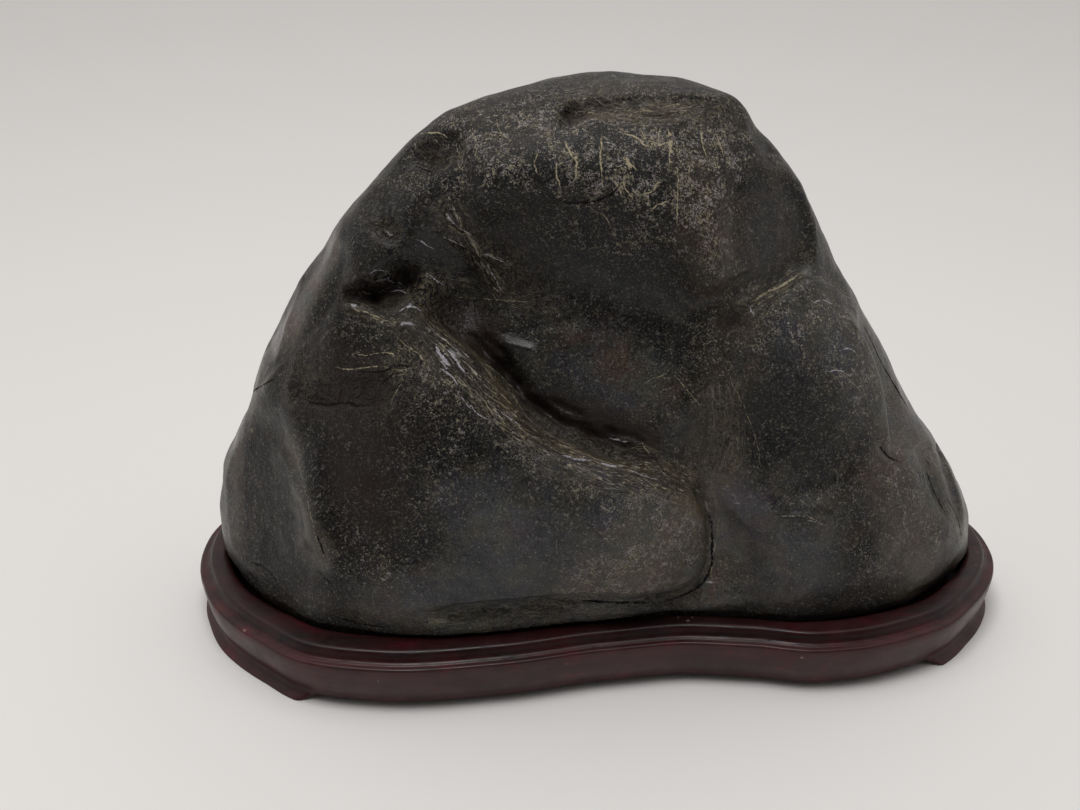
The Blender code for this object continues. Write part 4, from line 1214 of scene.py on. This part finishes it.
def foot_share(angle):
    """1 on a foot, 0 on the plain apron, with a short ogee between them."""
    share = 0.0
    for start, stop in FEET:
        degrees = (math.degrees(angle) - start) % 360.0 + start
        rise = min(degrees - start, stop - degrees) / FOOT_EDGE
        share = max(share, float(ease(rise)))
    return share


def stand_section(angle):
    """The stand's section at one angle, from the seat floor out, down and in underneath."""
    foot = foot_share(angle)
    section = [seat_point(angle, SEAT_FLOOR), seat_point(angle, SEAT_FLOOR + SEAT_FILLET)]
    section += [seat_point(angle, STAND_TOP - drop, outset) for drop, outset in SEAT_EDGE]
    section += [rim_point(angle, inset, height) for inset, height in SIDE_PROFILE]
    for plain, toe in zip(APRON_END, FOOT_END):
        inset, height = (a + foot * (b - a) for a, b in zip(plain, toe))
        section.append(rim_point(angle, inset, height))
    section.append(rim_point(angle, FOOT_THICKNESS, APRON_BOTTOM * (1 - foot)))
    section.append(rim_point(angle, FOOT_THICKNESS + INNER_SLOPE, APRON_BOTTOM))
    return section


def stand_mesh():
    """A ring drawn out level by level along the stand's section, and closed at both ends."""
    bm = bmesh.new()
    bmesh.ops.create_circle(bm, segments=STAND_STATIONS, radius=1.0)
    turn = bm.verts.layers.float.new("turn")
    for vert in bm.verts:
        vert[turn] = math.atan2(vert.co.y, vert.co.x)
    sections = {round(vert[turn], 5): stand_section(vert[turn]) for vert in bm.verts}
    levels = len(next(iter(sections.values())))
    ring = bm.edges[:]
    for level in range(levels):
        if level == 0:
            rim = bm.verts[:]
            bmesh.ops.edgeloop_fill(bm, edges=ring)
        else:
            drawn = bmesh.ops.extrude_edge_only(bm, edges=ring)["geom"]
            rim = [piece for piece in drawn if isinstance(piece, bmesh.types.BMVert)]
            ring = [piece for piece in drawn if isinstance(piece, bmesh.types.BMEdge)]
        for vert in rim:
            vert.co = sections[round(vert[turn], 5)][level] * MM
    bmesh.ops.edgeloop_fill(bm, edges=ring)
    bmesh.ops.recalc_face_normals(bm, faces=bm.faces[:])
    return to_mesh(bm, "fine_stand")


# ---- settings ----
class StoneLook(bpy.types.PropertyGroup):
    dark_colour: FloatVectorProperty(
        name="Dark", description="The stone's darker body colour", subtype="COLOR", size=3,
        min=0.0, max=1.0, default=(0.0050, 0.0048, 0.0046))
    pale_colour: FloatVectorProperty(
        name="Pale", description="The stone's paler body colour", subtype="COLOR", size=3,
        min=0.0, max=1.0, default=(0.056, 0.053, 0.046))
    fleck_colour: FloatVectorProperty(
        name="Flecks", description="Colour of the fine flecks", subtype="COLOR", size=3,
        min=0.0, max=1.0, default=(0.31, 0.275, 0.195))
    line_colour: FloatVectorProperty(
        name="Hairlines", description="Colour of the pale hairlines", subtype="COLOR", size=3,
        min=0.0, max=1.0, default=(0.40, 0.345, 0.225))
    patina_colour: FloatVectorProperty(
        name="Patina", description="Colour of the tan patina in the hollows", subtype="COLOR",
        size=3, min=0.0, max=1.0, default=(0.085, 0.060, 0.028))
    relief: FloatProperty(
        name="Fine Relief", description="Strength of the fine relief in the surface",
        min=0.0, max=1.0, default=0.8, subtype="FACTOR")
    sheen: FloatProperty(
        name="Sheen", description="How much the stone's rough body reflects",
        min=0.0, max=1.0, default=0.24, subtype="FACTOR")


class StandLook(bpy.types.PropertyGroup):
    dark_colour: FloatVectorProperty(
        name="Dark", description="The wood's darker colour", subtype="COLOR", size=3,
        min=0.0, max=1.0, default=(0.013, 0.0026, 0.0032))
    red_colour: FloatVectorProperty(
        name="Red", description="The wood's redder colour", subtype="COLOR", size=3,
        min=0.0, max=1.0, default=(0.052, 0.0095, 0.0105))
    # Partly a dusty film, partly painted sheen of the pale floor on the apron.
    dust_and_sheen_colour: FloatVectorProperty(
        name="Dust", description="Haze on the apron under the rim", subtype="COLOR", size=3,
        min=0.0, max=1.0, default=(0.075, 0.030, 0.034))


class StageLook(bpy.types.PropertyGroup):
    floor_size: FloatProperty(
        name="Floor", description="Width of the floor", subtype="DISTANCE", unit="LENGTH",
        min=1.0, max=20.0, default=8.0)
    floor_colour: FloatVectorProperty(
        name="Floor Colour", description="Colour of the floor", subtype="COLOR", size=3,
        min=0.0, max=1.0, default=(0.80, 0.785, 0.765))
    key_power: FloatProperty(
        name="Top Light", description="Power of the soft light overhead", unit="POWER",
        min=0.0, max=200.0, default=7.0)
    sky_strength: FloatProperty(
        name="Surroundings", description="Strength of the pale surroundings",
        min=0.0, max=3.0, default=0.85)


# ---- operators ----
class SCHOLARSROCK_OT_make_stone(bpy.types.Operator):
    """Add the fine stone in place of its plain solid"""
    bl_idname = "scholarsrock.make_stone"
    bl_label = "Make Stone"

    def execute(self, context):
        mesh = stone_mesh()
        points = read_vectors(mesh, "co") / MM
        tree = surface_finder(mesh)
        add_strokes(mesh, points, tree)
        add_bands(mesh, points, tree)
        for name, lines in HAIRLINES.items():
            add_hairlines(mesh, points, tree, name, lines)
        mesh.shade_smooth()
        mesh.materials.clear()
        mesh.materials.append(stone_material(context.scene.stone_look))
        stone = to_scene("fine_stone", mesh)
        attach(stone, "root")
        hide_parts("stone")
        return {"FINISHED"}


class SCHOLARSROCK_OT_make_stand(bpy.types.Operator):
    """Add the fine stand in place of its plain solid"""
    bl_idname = "scholarsrock.make_stand"
    bl_label = "Make Stand"

    def execute(self, context):
        mesh = stand_mesh()
        mesh.shade_smooth()
        mesh.set_sharp_from_angle(angle=STAND_SHARP)
        mesh.materials.append(wood_material(context.scene.stand_look))
        stand = to_scene("fine_stand", mesh)
        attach(stand, "root")
        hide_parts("stand")
        return {"FINISHED"}


def add_top_light(power):
    light = bpy.data.lights.new("top light", "AREA")
    light.shape = "RECTANGLE"
    light.size, light.size_y = TOP_LIGHT_SIZE
    light.energy = power
    lamp = to_scene("top light", light)
    lamp.location = TOP_LIGHT_PLACE
    way = Vector(TOP_LIGHT_AIM) - Vector(TOP_LIGHT_PLACE)
    lamp.rotation_euler = way.to_track_quat("-Z", "Y").to_euler()


def pale_surroundings(strength):
    """Soft light that is bright overhead, paler at the sides and dim on the front side."""
    world = bpy.data.worlds.new("pale surroundings")
    world.use_nodes = True
    tree = world.node_tree
    way = Signal(add(tree, "ShaderNodeTexCoord"), "Generated")
    front = vector_math("DOT_PRODUCT", {0: way, 1: DIM_SIDE}, "Value")
    light = (soft_step(split(way)[2], -0.1, 0.9, 0.55, 1.0)
             * soft_step(front, 0.35, 0.88, 1.0, 0.06))
    seen = Signal(add(tree, "ShaderNodeLightPath"), "Is Camera Ray")
    light = Signal(add(tree, "ShaderNodeMix", {0: seen, 2: light * strength, 3: SKY_BEHIND_STAGE},
                       data_type="FLOAT"))
    feed(tree.nodes["Background"], {"Color": SKY_COLOUR, "Strength": light})
    return world


def add_floor(look):
    bm = bmesh.new()
    bmesh.ops.create_grid(bm, x_segments=1, y_segments=1, size=look.floor_size / 2)
    mesh = to_mesh(bm, "floor")
    material, shader = new_material("pale floor")
    feed(shader, {"Base Color": colour(look.floor_colour), "Roughness": FLOOR_ROUGHNESS})
    mesh.materials.append(material)
    to_scene("floor", mesh)


def add_camera():
    lens = bpy.data.cameras.new("front view")
    lens.sensor_width = SENSOR_WIDTH
    lens.lens = FOCAL_PIXELS / VIEW_WIDTH * SENSOR_WIDTH
    lens.clip_start = CAMERA_NEAR
    camera = to_scene("front view", lens)
    camera.location = CAMERA_PLACE
    camera.rotation_euler = (CAMERA_TILT, 0, 0)
    bpy.context.scene.camera = camera


class SCHOLARSROCK_OT_make_stage(bpy.types.Operator):
    """Add the floor, the soft lights, the pale surroundings and the camera"""
    bl_idname = "scholarsrock.make_stage"
    bl_label = "Make Stage"

    def execute(self, context):
        look = context.scene.stage_look
        add_floor(look)
        add_top_light(look.key_power)
        context.scene.world = pale_surroundings(look.sky_strength)
        add_camera()
        context.scene.view_settings.view_transform = "Standard"
        return {"FINISHED"}


class SCHOLARSROCK_PT_panel(bpy.types.Panel):
    """The rock, its stand and the stage, with their looks"""
    bl_label = "Scholar's Rock"
    bl_space_type = "VIEW_3D"
    bl_region_type = "UI"
    bl_category = "Scholar's Rock"

    def draw(self, context):
        scene = context.scene
        for operator, look in ((SCHOLARSROCK_OT_make_stone, scene.stone_look),
                               (SCHOLARSROCK_OT_make_stand, scene.stand_look),
                               (SCHOLARSROCK_OT_make_stage, scene.stage_look)):
            box = self.layout.box()
            for name in look.__annotations__:
                box.prop(look, name)
            box.operator(operator.bl_idname)


CLASSES = (StoneLook, StandLook, StageLook, SCHOLARSROCK_OT_make_stone,
           SCHOLARSROCK_OT_make_stand, SCHOLARSROCK_OT_make_stage, SCHOLARSROCK_PT_panel)


def register():
    for kind in CLASSES:
        bpy.utils.register_class(kind)
    bpy.types.Scene.stone_look = PointerProperty(type=StoneLook)
    bpy.types.Scene.stand_look = PointerProperty(type=StandLook)
    bpy.types.Scene.stage_look = PointerProperty(type=StageLook)


def unregister():
    del bpy.types.Scene.stage_look
    del bpy.types.Scene.stand_look
    del bpy.types.Scene.stone_look
    for kind in reversed(CLASSES):
        bpy.utils.unregister_class(kind)


def main():
    register()
    bpy.ops.scholarsrock.make_stone()
    bpy.ops.scholarsrock.make_stand()
    bpy.ops.scholarsrock.make_stage()
    bpy.context.view_layer.update()


if __name__ == "__main__":
    main()
